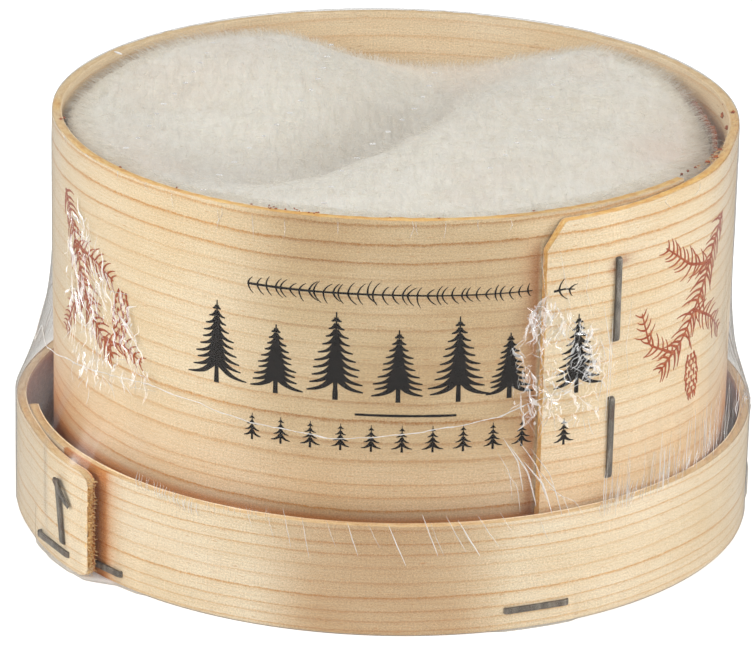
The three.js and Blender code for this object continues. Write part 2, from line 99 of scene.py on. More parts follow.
def make_mesh(name, verts, faces, mats, attrs=None, smooth_shade=True, face_mats=None):
    """verts in mm; faces is an (n, 3) or (n, 4) array, or a list of such arrays."""
    if not isinstance(faces, (list, tuple)):
        faces = [faces]
    faces = [np.asarray(f, np.int64) for f in faces if len(f)]
    sizes = np.concatenate([np.full(len(f), f.shape[1]) for f in faces])
    loops = np.concatenate([f.ravel() for f in faces])
    me = bpy.data.meshes.new(name)
    me.vertices.add(len(verts))
    me.vertices.foreach_set("co", (np.asarray(verts, float) * MM).astype(np.float32).ravel())
    me.loops.add(len(loops))
    me.loops.foreach_set("vertex_index", loops.astype(np.int32))
    me.polygons.add(len(sizes))
    me.polygons.foreach_set("loop_start", (np.cumsum(sizes) - sizes).astype(np.int32))
    me.polygons.foreach_set("use_smooth", np.full(len(sizes), smooth_shade))
    for m in mats:
        me.materials.append(m)
    if face_mats is not None:
        me.polygons.foreach_set("material_index", np.asarray(face_mats, np.int32))
    me.update(calc_edges=True)
    for k, v in (attrs or {}).items():
        v = np.asarray(v, np.float32)
        if v.ndim == 2:
            a = me.attributes.new(k, "FLOAT_VECTOR", "POINT")
            a.data.foreach_set("vector", v.ravel())
        else:
            a = me.attributes.new(k, "FLOAT", "POINT")
            a.data.foreach_set("value", v)
    me.validate()
    o = bpy.data.objects.new(name, me)
    scene.collection.objects.link(o)
    return o


def place(o, slot, *nodes):
    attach(o, "root")
    if nodes:
        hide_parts(*nodes)
    return o


class Soup:
    """Collects many small meshes into one."""

    def __init__(self):
        self.v, self.q, self.t, self.n, self.a = [], [], [], 0, {}

    def add(self, v, quads=None, tris=None, **attrs):
        v = np.asarray(v, float).reshape(-1, 3)
        if quads is not None and len(quads):
            self.q.append(np.asarray(quads, np.int64) + self.n)
        if tris is not None and len(tris):
            self.t.append(np.asarray(tris, np.int64) + self.n)
        self.v.append(v)
        self.n += len(v)
        for k, x in attrs.items():
            self.a.setdefault(k, []).append(np.broadcast_to(np.asarray(x, float), (len(v),)))

    def build(self, name, mats, smooth_shade=True):
        faces = []
        if self.q:
            faces.append(np.concatenate(self.q))
        if self.t:
            faces.append(np.concatenate(self.t))
        return make_mesh(name, np.concatenate(self.v), faces, mats, {k: np.concatenate(x) for k, x in self.a.items()}, smooth_shade)


def tube(path, radius, sides=8, squash=None, up=None):
    """A closed tube along path (n, 3); radius is a number or (n,). Returns verts, quads, tris."""
    path = np.asarray(path, float)
    n = len(path)
    radius = np.broadcast_to(np.asarray(radius, float), (n,))
    tang = np.gradient(path, axis=0)
    tang /= np.linalg.norm(tang, axis=1, keepdims=True) + 1e-12
    if up is None:
        ref = np.array([0.0, 0.0, 1.0])
        up = np.where(np.abs(tang @ ref)[:, None] > 0.9, np.array([1.0, 0.0, 0.0]), ref)
    up = np.broadcast_to(up, path.shape)
    side = np.cross(tang, up)
    side /= np.linalg.norm(side, axis=1, keepdims=True) + 1e-12
    nor = np.cross(side, tang)
    ang = np.linspace(0, 2 * np.pi, sides, endpoint=False)
    sq = 1.0 if squash is None else squash
    ring = path[:, None] + radius[:, None, None] * (np.cos(ang)[None, :, None] * side[:, None] + sq * np.sin(ang)[None, :, None] * nor[:, None])
    v = np.concatenate([ring.reshape(-1, 3), path[:1], path[-1:]])
    i = np.arange(n - 1)[:, None] * sides
    k = np.arange(sides)[None]
    k2 = (k + 1) % sides
    quads = np.stack([i + k, i + k2, i + sides + k2, i + sides + k], -1).reshape(-1, 4)
    a, b = n * sides, n * sides + 1
    k = np.arange(sides)
    k2 = (k + 1) % sides
    tris = np.concatenate([np.stack([np.full(sides, a), k2, k], -1), np.stack([np.full(sides, b), (n - 1) * sides + k, (n - 1) * sides + k2], -1)])
    return v, quads, tris


# ------------------------------------------------------------------ node helpers
def srgb(r, g, b):
    def f(c):
        c /= 255.0
        return c / 12.92 if c <= 0.04045 else ((c + 0.055) / 1.055) ** 2.4
    return (f(r), f(g), f(b), 1.0)


class G:
    """A small wrapper that adds and wires shader nodes."""

    def __init__(self, name):
        self.mat = bpy.data.materials.new(name)
        self.mat.use_nodes = True
        self.nt = self.mat.node_tree
        self.nt.nodes.clear()
        self.out = self.nt.nodes.new("ShaderNodeOutputMaterial")

    def link(self, src, sock):
        if isinstance(src, (int, float)):
            sock.default_value = src
        elif isinstance(src, (tuple, list)):
            sock.default_value = src
        else:
            self.nt.links.new(src, sock)

    def attr(self, name):
        n = self.nt.nodes.new("ShaderNodeAttribute")
        n.attribute_type = "GEOMETRY"
        n.attribute_name = name
        return n

    def math(self, op, a, b=0.0, c=None, clamp=False):
        n = self.nt.nodes.new("ShaderNodeMath")
        n.operation = op
        n.use_clamp = clamp
        self.link(a, n.inputs[0])
        self.link(b, n.inputs[1])
        if c is not None:
            self.link(c, n.inputs[2])
        return n.outputs[0]

    def vec(self, x, y, z):
        n = self.nt.nodes.new("ShaderNodeCombineXYZ")
        for s, v in zip(n.inputs, (x, y, z)):
            self.link(v, s)
        return n.outputs[0]

    def noise(self, vector, scale=1.0, detail=3.0, rough=0.5, dist=0.0):
        n = self.nt.nodes.new("ShaderNodeTexNoise")
        n.noise_dimensions = "3D"
        self.link(vector, n.inputs["Vector"])
        n.inputs["Scale"].default_value = scale
        n.inputs["Detail"].default_value = detail
        n.inputs["Roughness"].default_value = rough
        n.inputs["Distortion"].default_value = dist
        return n.outputs["Fac"]

    def ramp(self, fac, stops, interp="LINEAR"):
        n = self.nt.nodes.new("ShaderNodeValToRGB")
        n.color_ramp.interpolation = interp
        e = n.color_ramp.elements
        while len(e) > len(stops):
            e.remove(e[-1])
        while len(e) < len(stops):
            e.new(0.5)
        for el, (p, c) in zip(e, stops):
            el.position = p
            el.color = (c, c, c, 1) if isinstance(c, (int, float)) else c
        self.link(fac, n.inputs[0])
        return n.outputs[0]

    def mix(self, fac, a, b, blend="MIX"):
        n = self.nt.nodes.new("ShaderNodeMix")
        n.data_type = "RGBA"
        n.blend_type = blend
        n.clamp_factor = True
        self.link(fac, n.inputs[0])
        self.link(a, n.inputs[6])
        self.link(b, n.inputs[7])
        return n.outputs[2]

    def rangemap(self, v, a, b, c=0.0, d=1.0):
        n = self.nt.nodes.new("ShaderNodeMapRange")
        n.clamp = True
        self.link(v, n.inputs["Value"])
        for k, x in zip(("From Min", "From Max", "To Min", "To Max"), (a, b, c, d)):
            n.inputs[k].default_value = x
        return n.outputs[0]

    def coords(self):
        return self.nt.nodes.new("ShaderNodeTexCoord").outputs["Object"]

    def scale_vec(self, v, s):
        n = self.nt.nodes.new("ShaderNodeMapping")
        self.link(v, n.inputs["Vector"])
        n.inputs["Scale"].default_value = s
        return n.outputs[0]

    def bump(self, height, strength, dist, normal=None):
        n = self.nt.nodes.new("ShaderNodeBump")
        n.inputs["Strength"].default_value = strength
        n.inputs["Distance"].default_value = dist
        self.link(height, n.inputs["Height"])
        if normal is not None:
            self.link(normal, n.inputs["Normal"])
        return n.outputs[0]

    def principled(self, **kw):
        n = self.nt.nodes.new("ShaderNodeBsdfPrincipled")
        for k, v in kw.items():
            self.link(v, n.inputs[k.replace("_", " ")])
        return n

    def finish(self, shader):
        self.nt.links.new(shader, self.out.inputs["Surface"])
        return self.mat


# ------------------------------------------------------------------ materials
def wood_material(name, cream, tan, line, cream_shaded, tan_shaded, line_shaded):
    """Spruce on a strip: attributes s (mm along it), h (mm up it), ph (growth ring phase),
    rs (ring strength), edge (cut edges), and real rust stains together with painted shade and shadow. Two more
    attributes hold painted shade only: an orange-tinted darkening and a darker front middle."""
    g = G(name)
    s, h, ph = g.attr("s").outputs["Fac"], g.attr("h").outputs["Fac"], g.attr("ph").outputs["Fac"]
    rs, edge, stain, t = (g.attr(k).outputs["Fac"] for k in ("rs", "edge", "stain", "t"))
    ochre, warm, tone = (g.attr(k).outputs["Fac"] for k in ("ochre", "warm", "tone"))
    # painted shade: where the tone attribute is set, the colours blend to darker, greyer shaded ones
    cream, tan, line = g.mix(tone, cream, cream_shaded), g.mix(tone, tan, tan_shaded), g.mix(tone, line, line_shaded)
    # wobble of the growth lines
    wob = g.noise(g.vec(g.math("MULTIPLY", s, 0.35), g.math("MULTIPLY", h, 0.5), t), 1.0, 3.0, 0.6)
    fine = g.noise(g.vec(g.math("MULTIPLY", s, 3.2), g.math("MULTIPLY", h, 2.2), t), 1.0, 2.0, 0.6)
    php = g.math("ADD", ph, g.math("MULTIPLY", g.math("SUBTRACT", wob, 0.5), 0.16))
    php = g.math("ADD", php, g.math("MULTIPLY", g.math("SUBTRACT", fine, 0.5), 0.16))
    fr = g.math("FRACT", php)
    latewood = g.ramp(fr, [(0.0, 0.35), (0.035, 0.06), (0.30, 0.0), (0.62, 0.05), (0.82, 0.24), (0.92, 0.9), (0.97, 1.0), (1.0, 0.40)])
    ring = g.math("MULTIPLY", latewood, rs)
    # broken, dotty latewood
    dots = g.noise(g.vec(g.math("MULTIPLY", s, 2.4), g.math("MULTIPLY", h, 1.2), 3.1), 1.0, 2.0, 0.7)
    ring = g.math("MULTIPLY", ring, g.rangemap(dots, 0.25, 0.65, 0.55, 1.12))
    # fibre along the strip, chatter marks across it, broad patches
    fibre = g.noise(g.vec(g.math("MULTIPLY", s, 0.10), g.math("MULTIPLY", h, 3.6), t), 1.0, 4.0, 0.65)
    chatter = g.noise(g.vec(g.math("MULTIPLY", s, 2.6), g.math("MULTIPLY", h, 0.22), t), 1.0, 3.0, 0.6)
    mott = g.noise(g.vec(g.math("MULTIPLY", s, 3.3), g.math("MULTIPLY", h, 3.8), t), 1.0, 2.0, 0.7)
    patch = g.noise(g.vec(g.math("MULTIPLY", s, 0.035), g.math("MULTIPLY", h, 0.07), t), 1.0, 2.0, 0.5)
    base = g.mix(g.rangemap(patch, 0.3, 0.7, 0.0, 1.0), cream, tan)
    base = g.mix(g.rangemap(fibre, 0.38, 0.75, 0.0, 0.32), base, line)
    col = g.mix(g.math("MULTIPLY", ring, 0.95), base, line)
    lo = g.math("MULTIPLY", g.rangemap(chatter, 0.3, 0.7, 0.965, 1.035), g.rangemap(mott, 0.30, 0.70, 0.78, 1.20))
    # painted light: the inner faces (t above 0.9) are made up to 1.34 times brighter
    lo = g.math("MULTIPLY", lo, g.rangemap(t, 0.9, 0.99, 1.0, 1.34))
    n = g.nt.nodes.new("ShaderNodeVectorMath")
    n.operation = "SCALE"
    g.link(col, n.inputs[0])
    g.link(lo, n.inputs["Scale"])
    col = n.outputs[0]
    # resin flecks
    fleck = g.noise(g.vec(g.math("MULTIPLY", s, 0.55), g.math("MULTIPLY", h, 4.5), 7.7), 1.0, 1.0, 0.4)
    col = g.mix(g.rangemap(fleck, 0.70, 0.78, 0.0, 0.55), col, srgb(178, 120, 66))
    # cut edges: ochre, uneven
    en = g.noise(g.vec(g.math("MULTIPLY", s, 0.5), g.math("MULTIPLY", h, 1.6), g.math("MULTIPLY", t, 3.0)), 1.0, 4.0, 0.7)
    ecol = g.ramp(en, [(0.25, srgb(186, 120, 52)), (0.42, srgb(216, 158, 78)), (0.58, srgb(230, 188, 112)), (0.78, srgb(240, 214, 156))])
    epale = g.ramp(en, [(0.25, srgb(196, 160, 112)), (0.5, srgb(226, 200, 158)), (0.75, srgb(236, 216, 180))])
    ecol = g.mix(ochre, epale, ecol)
    col = g.mix(g.math("MULTIPLY", edge, 0.85), col, ecol)
    # painted shade with bounce light: an orange-tinted darkening low on the box wall, under and inside the lid and
    # beside the overlaps' free ends
    col = g.mix(warm, col, srgb(230, 172, 120), "MULTIPLY")
    # real rust stains by the staples, and painted shade and shadow beside the overlaps' free ends and inside the lid,
    # mixed in as a broken brown
    sn = g.noise(g.vec(g.math("MULTIPLY", s, 1.2), g.math("MULTIPLY", h, 1.8), 1.3), 1.0, 3.0, 0.6)
    col = g.mix(g.math("MULTIPLY", stain, g.rangemap(sn, 0.3, 0.6, 0.4, 1.0)), col, srgb(140, 74, 38))
    # relief: raised latewood, fibre, chatter
    hgt = g.math("ADD", g.math("MULTIPLY", ring, 0.35), g.math("MULTIPLY", fibre, 0.5))
    hgt = g.math("ADD", hgt, g.math("MULTIPLY", chatter, 0.15))
    hgt = g.math("ADD", hgt, g.math("MULTIPLY", mott, 0.7))
    p = g.principled(Base_Color=col, Roughness=g.rangemap(fibre, 0.3, 0.7, 0.58, 0.72), Normal=g.bump(hgt, 0.35, 0.00012))
    p.inputs["Specular IOR Level"].default_value = 0.3
    return g.finish(p.outputs[0])


def sawn_material(name):
    """Sawn spruce disc, grain along X."""
    g = G(name)
    co = g.coords()
    wob = g.noise(g.scale_vec(co, (14, 60, 60)), 1.0, 3.0, 0.5)
    n = g.nt.nodes.new("ShaderNodeSeparateXYZ")
    g.link(co, n.inputs[0])
    ph = g.math("ADD", g.math("MULTIPLY", n.outputs[1], 310.0), g.math("MULTIPLY", wob, 2.6))
    fr = g.math("FRACT", ph)
    ring = g.ramp(fr, [(0.0, 0.3), (0.1, 0.0), (0.6, 0.08), (0.9, 0.9), (1.0, 0.4)])
    fib = g.noise(g.scale_vec(co, (60, 1800, 1800)), 1.0, 4.0, 0.65)
    saw = g.noise(g.scale_vec(co, (1400, 90, 90)), 1.0, 2.0, 0.5)
    base = g.mix(g.rangemap(fib, 0.3, 0.7, 0.0, 0.6), srgb(236, 216, 178), srgb(216, 180, 128))
    col = g.mix(g.math("MULTIPLY", ring, 0.6), base, srgb(196, 142, 84))
    hgt = g.math("ADD", g.math("MULTIPLY", fib, 0.5), g.math("MULTIPLY", saw, 0.5))
    p = g.principled(Base_Color=col, Roughness=g.rangemap(fib, 0.3, 0.7, 0.62, 0.78), Normal=g.bump(hgt, 0.4, 0.0002))
    p.inputs["Specular IOR Level"].default_value = 0.3
    return g.finish(p.outputs[0])


def steel_material():
    g = G("staple_steel")
    co = g.coords()
    a = g.noise(g.scale_vec(co, (900, 900, 260)), 1.0, 4.0, 0.6)
    b = g.noise(g.scale_vec(co, (260, 260, 260)), 1.0, 3.0, 0.6)
    col = g.ramp(a, [(0.25, srgb(66, 61, 55)), (0.5, srgb(104, 98, 90)), (0.75, srgb(148, 141, 131))])
    col = g.mix(g.rangemap(b, 0.55, 0.72, 0.0, 0.7), col, srgb(84, 58, 42))
    p = g.principled(Base_Color=col, Roughness=g.rangemap(a, 0.3, 0.7, 0.4, 0.6), Normal=g.bump(a, 0.5, 0.0002))
    p.inputs["Metallic"].default_value = 0.7
    return g.finish(p.outputs[0])


def bark_material():
    g = G("spruce_bark")
    co = g.coords()
    a = g.noise(g.scale_vec(co, (260, 260, 1100)), 1.0, 5.0, 0.65)
    col = g.ramp(a, [(0.28, srgb(110, 52, 28)), (0.46, srgb(158, 80, 44)), (0.62, srgb(190, 112, 66)), (0.8, srgb(214, 154, 104))])
    p = g.principled(Base_Color=col, Roughness=g.rangemap(a, 0.3, 0.7, 0.6, 0.85), Normal=g.bump(a, 0.6, 0.0004))
    return g.finish(p.outputs[0])


def rind_material():
    g = G("mould_rind")
    co = g.coords()
    big = g.noise(g.scale_vec(co, (38, 38, 38)), 1.0, 3.0, 0.55)
    mid = g.noise(g.scale_vec(co, (160, 160, 160)), 1.0, 4.0, 0.6)
    fine = g.noise(g.scale_vec(co, (1300, 1300, 1300)), 1.0, 4.0, 0.7)
    fl = g.noise(g.scale_vec(co, (520, 760, 520)), 1.0, 3.0, 0.65, 0.6)
    col = g.mix(g.rangemap(big, 0.35, 0.65, 0.0, 1.0), srgb(238, 233, 220), srgb(230, 223, 208))
    col = g.mix(g.rangemap(mid, 0.5, 0.75, 0.0, 0.3), col, srgb(243, 239, 229))
    col = g.mix(g.rangemap(mid, 0.25, 0.42, 0.35, 0.0), col, srgb(212, 205, 190))
    streak = g.noise(g.scale_vec(co, (1000, 170, 300)), 1.0, 3.0, 0.6, 0.5)
    tuft = g.noise(g.scale_vec(co, (330, 95, 200)), 1.0, 2.0, 0.6, 0.8)
    col = g.mix(g.rangemap(streak, 0.36, 0.66, 0.0, 0.40), col, srgb(204, 197, 184))
    col = g.mix(g.rangemap(tuft, 0.40, 0.70, 0.0, 0.34), col, srgb(248, 245, 238))
    pink = g.attr("pink").outputs["Fac"]
    col = g.mix(pink, col, srgb(224, 196, 176))
    dark = g.attr("shade").outputs["Fac"]
    col = g.mix(dark, col, srgb(128, 108, 96))
    hgt = g.math("ADD", g.math("MULTIPLY", fine, 0.4), g.math("MULTIPLY", fl, 0.5))
    hgt = g.math("ADD", hgt, g.math("ADD", g.math("MULTIPLY", streak, 0.9), g.math("MULTIPLY", tuft, 1.2)))
    p = g.principled(Base_Color=col, Normal=g.bump(hgt, 0.55, 0.0008))
    p.inputs["Roughness"].default_value = 0.95
    p.inputs["Specular IOR Level"].default_value = 0.15
    p.inputs["Sheen Weight"].default_value = 0.35
    p.inputs["Sheen Roughness"].default_value = 0.5
    p.inputs["Subsurface Weight"].default_value = 0.25
    p.inputs["Subsurface Radius"].default_value = (0.0016, 0.0013, 0.0011)
    p.inputs["Subsurface Scale"].default_value = 1.0
    return g.finish(p.outputs[0])


def hair_material():
    g = G("mould_down")
    rnd = g.attr("rnd").outputs["Fac"]
    tone = g.noise(g.scale_vec(g.coords(), (120, 120, 120)), 1.0, 2.0, 0.5)
    col = g.mix(g.math("MULTIPLY", rnd, g.rangemap(tone, 0.3, 0.7, 0.6, 1.0)), srgb(255, 253, 247), srgb(226, 218, 204))
    p = g.principled(Base_Color=col)
    p.inputs["Roughness"].default_value = 0.8
    p.inputs["Specular IOR Level"].default_value = 0.2
    tl = g.nt.nodes.new("ShaderNodeBsdfTranslucent")
    g.link(col, tl.inputs["Color"])
    m2 = g.nt.nodes.new("ShaderNodeMixShader")
    m2.inputs[0].default_value = 0.5
    g.link(p.outputs[0], m2.inputs[1])
    g.link(tl.outputs[0], m2.inputs[2])
    return g.finish(m2.outputs[0])


def film_material(name, tint=(0.975, 0.975, 0.97, 1.0), gloss=1.0, haze=0.003, rough=0.2, bump=0.12, cap=1.0, edge=(0.72, 0.71, 0.70, 1.0)):
    """Thin clear film: see-through, with glossy reflection and a little white haze."""
    g = G(name)
    co = g.coords()
    a = g.noise(g.scale_vec(co, (190, 190, 60)), 1.0, 4.0, 0.55)
    b = g.noise(g.scale_vec(co, (900, 900, 420)), 1.0, 3.0, 0.55)
    nrm = g.bump(g.math("ADD", g.math("MULTIPLY", a, 1.0), g.math("MULTIPLY", b, 0.25)), bump, 0.0012)
    fr = g.nt.nodes.new("ShaderNodeFresnel")
    # a thin film reflects alike from both of its sides
    geo = g.nt.nodes.new("ShaderNodeNewGeometry")
    g.link(g.math("SUBTRACT", 1.48, g.math("MULTIPLY", geo.outputs["Backfacing"], 1.48 - 1 / 1.48)), fr.inputs["IOR"])
    g.link(nrm, fr.inputs["Normal"])
    gl = g.nt.nodes.new("ShaderNodeBsdfGlossy")
    gl.inputs["Color"].default_value = (1, 1, 1, 1)
    gl.inputs["Roughness"].default_value = rough
    g.link(nrm, gl.inputs["Normal"])
    tr = g.nt.nodes.new("ShaderNodeBsdfTransparent")
    lw = g.nt.nodes.new("ShaderNodeLayerWeight")
    lw.inputs["Blend"].default_value = 0.5
    slant = g.math("MULTIPLY", g.math("POWER", lw.outputs["Facing"], 2.3), g.rangemap(g.attr("gl").outputs["Fac"], 0.40, 0.54, 1.0, 0.60))
    g.link(g.mix(slant, tint, edge), tr.inputs["Color"])
    m = g.nt.nodes.new("ShaderNodeMixShader")
    gk = g.math("MULTIPLY", g.attr("gl").outputs["Fac"], gloss)
    g.link(g.math("MINIMUM", g.math("MULTIPLY", fr.outputs[0], gk), cap), m.inputs[0])
    g.link(tr.outputs[0], m.inputs[1])
    g.link(gl.outputs[0], m.inputs[2])
    df = g.nt.nodes.new("ShaderNodeBsdfDiffuse")
    df.inputs["Color"].default_value = (0.92, 0.92, 0.92, 1)
    tl = g.nt.nodes.new("ShaderNodeBsdfTranslucent")
    tl.inputs["Color"].default_value = (0.92, 0.92, 0.92, 1)
    dt = g.nt.nodes.new("ShaderNodeMixShader")
    dt.inputs[0].default_value = 0.5
    g.link(df.outputs[0], dt.inputs[1])
    g.link(tl.outputs[0], dt.inputs[2])
    m2 = g.nt.nodes.new("ShaderNodeMixShader")
    hz = g.math("ADD", g.attr("haze").outputs["Fac"], haze)
    hz = g.math("MULTIPLY", hz, g.rangemap(a, 0.25, 0.75, 0.5, 1.5), clamp=True)
    g.link(hz, m2.inputs[0])
    g.link(m.outputs[0], m2.inputs[1])
    g.link(dt.outputs[0], m2.inputs[2])
    return g.finish(m2.outputs[0])


def ink_material(name, c1, c2):
    g = G(name)
    a = g.noise(g.scale_vec(g.coords(), (700, 700, 700)), 1.0, 4.0, 0.7)
    b = g.noise(g.scale_vec(g.coords(), (90, 90, 2600)), 1.0, 3.0, 0.6)
    f = g.math("MULTIPLY", a, b)
    col = g.mix(g.rangemap(f, 0.2, 0.42, 0.0, 0.8), c1, c2)
    p = g.principled(Base_Color=col, Roughness=g.rangemap(a, 0.3, 0.7, 0.6, 0.75), Normal=g.bump(b, 0.25, 0.0001))
    p.inputs["Specular IOR Level"].default_value = 0.15
    return g.finish(p.outputs[0])


# the last three colours of each are painted shaded copies, used across the front middle
M_BOX = wood_material("spruce_box", srgb(221, 207, 179), srgb(212, 192, 156), srgb(190, 136, 70), srgb(198, 176, 138), srgb(186, 158, 118), srgb(150, 104, 56))
M_LID = wood_material("spruce_lid", srgb(222, 209, 184), srgb(213, 195, 162), srgb(194, 144, 82), srgb(192, 163, 125), srgb(181, 149, 110), srgb(164, 112, 62))
M_SAWN = sawn_material("spruce_sawn")
M_STEEL = steel_material()
M_BARK = bark_material()
M_RIND = rind_material()
M_HAIR = hair_material()
M_FILM = film_material("shrink_film", cap=0.13, edge=(0.40, 0.385, 0.36, 1.0))
M_EAR = film_material("shrink_film_folds", gloss=7.0, haze=0.006, rough=0.13, bump=0.12, cap=0.8)
M_BEAD = film_material("shrink_film_weld", gloss=2.5, haze=0.3, rough=0.2, bump=0.3)
M_CREASE = film_material("shrink_film_creases", gloss=6.0, haze=0.04, rough=0.14, bump=0.2)
M_INK = ink_material("print_dark", srgb(14, 10, 8), srgb(36, 28, 22))
M_RUSSET = ink_material("print_russet", srgb(146, 62, 28), srgb(184, 108, 64))


# ------------------------------------------------------------------ bent strips
def rings_phase(z, knots):
    """Continuous phase that passes a whole number at each growth line; z falls as phase grows."""
    k = np.asarray(knots, float)[::-1]
    idx = np.arange(len(k))
    return np.interp(z, k, idx.astype(float))


def strip(name, mat, slot, node, cx, start, direc, sweep, r_in, stepout, ramp, lo, hi, thick,
          knots, strengths, drift, rows=58, dcol=0.6, layers=4, hi_fn=None, lo_fn=None, r_fn=None,
          end_rough=0.25, top_rough=0.16, stains=(), seed=3, wave=0.07, knots2=None, strengths2=None,
          blend=(200, 350), ochre_fn=None, warm_fn=None, painted_front_shade_fn=None, stain_fn=None):
    s_deg = np.unique(np.concatenate([np.arange(0, sweep, dcol), sweep - np.array([0, 0.12, 0.3, 0.55, 0.9, 1.4, 2.0, 2.6]), [sweep, 0.15, 0.4]]))
    s_deg = s_deg[np.concatenate([[True], np.diff(s_deg) > 0.05])]
    s_deg[-1] = sweep
    C = len(s_deg)
    # rows: fine near the two cut edges
    zr = np.concatenate([[0, 0.004, 0.012], np.linspace(0.022, 0.978, rows), [0.988, 0.996, 1.0]])
    J, I = len(zr) - 1, layers
    rr = r_in + smooth(360 - ramp, 357, s_deg) * (thick + stepout)
    back = sweep - s_deg
    ang = start + direc * s_deg
    if r_fn is not None:
        rr = rr + r_fn(ang, back)
    top = np.full(C, hi) if hi_fn is None else hi_fn(ang, back)
    bot = np.full(C, lo) if lo_fn is None else lo_fn(ang, back)
    c, j, i = np.meshgrid(np.arange(C), np.arange(J + 1), np.arange(I + 1), indexing="ij")
    on = (c == 0) | (c == C - 1) | (j == 0) | (j == J) | (i == 0) | (i == I)
    idx = np.full(on.shape, -1, np.int64)
    idx[on] = np.arange(on.sum())
    c, j, i = c[on], j[on], i[on]
    f = i / I
    zz = bot[c] + (top[c] - bot[c]) * zr[j]
    smm = np.radians(s_deg[c]) * (r_in + thick)
    rad = rr[c] + (1 - f) * thick
    # gentle waves of the wood, and the torn cut edges
    w = wave * fbm(smm * 0.05, zz * 0.05, 0, seed, 3)
    rad = rad + w
    tj = (j == J)
    bj = (j == 0)
    zz = zz + tj * (top_rough * (vnoise(smm * 0.9, f * 3, 0, seed + 5) * 0.6 + vnoise(smm * 0.22, f * 2, 0, seed + 6) * 0.6) - top_rough * 0.8)
    zz = zz - bj * (0.06 * vnoise(smm * 0.9, f * 3, 0, seed + 7) - 0.06)
    corner = (tj | bj) & ((i == 0) | (i == I))
    rad = rad + np.where(corner, np.where(i == 0, -0.13, 0.13), 0)
    zz = zz + np.where(corner, np.where(tj, -0.10, 0.10), 0)
    a = ang[c]
    endj = (c == C - 1)
    er = end_rough * (0.7 * vnoise(zz * 1.1, f * 4, 0, seed + 9) + 0.5 * vnoise(zz * 3.1, f * 5, 0, seed + 10))
    a = a + direc * endj * np.degrees(er / (r_in + thick)) - direc * endj * np.degrees(end_rough * 0.8 / (r_in + thick))
    v = at(rad, a, zz, cx)
    quads = []

    def face(arr, flip):
        q = np.stack([arr[:-1, :-1], arr[1:, :-1], arr[1:, 1:], arr[:-1, 1:]], -1).reshape(-1, 4)
        quads.append(q[:, ::-1] if flip else q)

    fl = direc < 0
    face(idx[:, :, 0], fl)
    face(idx[:, :, I], not fl)
    face(idx[:, J, :], fl)
    face(idx[:, 0, :], not fl)
    face(idx[0, :, :], fl)
    face(idx[C - 1, :, :], not fl)
    hdr = zz + drift(smm, zz) + f * 0.5
    ka, sa_ = np.asarray(knots, float)[::-1], np.asarray(strengths, float)[::-1]
    kb = ka if knots2 is None else np.asarray(knots2, float)[::-1]
    sb_ = sa_ if strengths2 is None else np.asarray(strengths2, float)[::-1]
    ph, st = np.zeros(len(zz)), np.zeros(len(zz))
    bw = smooth(blend[0], blend[1], s_deg)
    order = np.argsort(c, kind="stable")
    bounds_ = np.searchsorted(c[order], np.arange(C + 1))
    for col in range(C):
        ii = order[bounds_[col]:bounds_[col + 1]]
        kk = ka * (1 - bw[col]) + kb * bw[col]
        ph[ii] = np.interp(hdr[ii], kk, np.arange(len(kk)))
        st[ii] = np.interp(hdr[ii], kk, sa_ * (1 - bw[col]) + sb_ * bw[col])
    st = st * np.where(f > 0.9, 0.45, 1.0)
    edge = np.maximum.reduce([tj * 1.0, bj * 0.8, (c == 0) * 1.0, (c == C - 1) * 1.0])
    edge = np.where(corner, 0.55, edge)
    ochre = np.where(c == C - 1, 1.0, 0.0) if ochre_fn is None else np.where(c == C - 1, 1.0, ochre_fn(a))
    # painted shade: the next three functions paint orange-tinted shade, a darker front middle and brown shade and
    # shadow; the stains list below adds real rust stains
    warm = np.zeros(len(zz)) if warm_fn is None else warm_fn(a, zz, f)
    tone = np.zeros(len(zz)) if painted_front_shade_fn is None else painted_front_shade_fn(a, zz, s_deg[c])
    stain = np.zeros(len(zz)) if stain_fn is None else stain_fn(a, zz, f)
    for (sa, sz, ra, rz, amt) in stains:
        d = ((wrap(a - sa)) * np.radians(1) * (r_in + thick) / ra) ** 2 + ((zz - sz) / rz) ** 2
        ok = (i == 0) & (s_deg[c] > 180) if sa > -300 else True
        stain = np.maximum(stain, amt * np.exp(-d) * ok)
    o = make_mesh(name, v, np.concatenate(quads), [mat], dict(s=smm, h=zz, ph=ph, rs=st, edge=edge, stain=stain, t=f, ochre=ochre, warm=warm, tone=tone))
    o.data.set_sharp_from_angle(angle=math.radians(40))
    return place(o, slot, node)


# box: growth lines at the front and on the overlap, top to bottom, with their strengths
BOX_KNOTS = [78.6, 75.4, 72.3, 69.2, 66.0, 62.8, 60.1, 56.9, 54.2, 51.7, 48.9, 46.0, 42.9, 39.4, 36.3, 32.4, 29.5, 25.1, 23.0, 20.8, 17.6, 14.2, 11.4, 8.3, 5.0, 1.2]
BOX_STR = [.7, .8, .75, .8, 1.0, 1.0, .35, .5, .3, .65, .35, .3, .5, .6, 1.0, .55, .6, .55, .6, 1.0, .6, .5, .6, .5, .6, .5]
FLAP_KNOTS = [79.0, 75.9, 73.0, 69.9, 66.9, 63.8, 61.2, 59.0, 56.5, 53.8, 51.3, 48.6, 46.2, 43.5, 41.0, 38.2, 35.4, 32.9, 30.2, 27.4, 24.9, 22.2, 19.4, 16.5, 13.2, 9.6]
FLAP_STR = [.9, .9, .9, .9, 1.0, 1.0, .95, .9, .8, .75, .6, .65, .55, .6, .55, .6, .6, .55, .6, .65, .6, .55, .6, .6, .6, .6]


def box_drift(s, z):
    return 0.35 * np.sin(s / 37.0 + 0.6) * smooth(58, 40, z) + 0.3 * vnoise(s * 0.03, z * 0.05, 0, 71) + 0.12 * vnoise(s * 0.14, z * 0.1, 0, 73)


def box_hi(ang, back):
    trim = 4.9 * np.clip(1 - back / 3.2, 0, 1)
    return 70.0 - trim - 1.0 * smooth(45, 6, back)


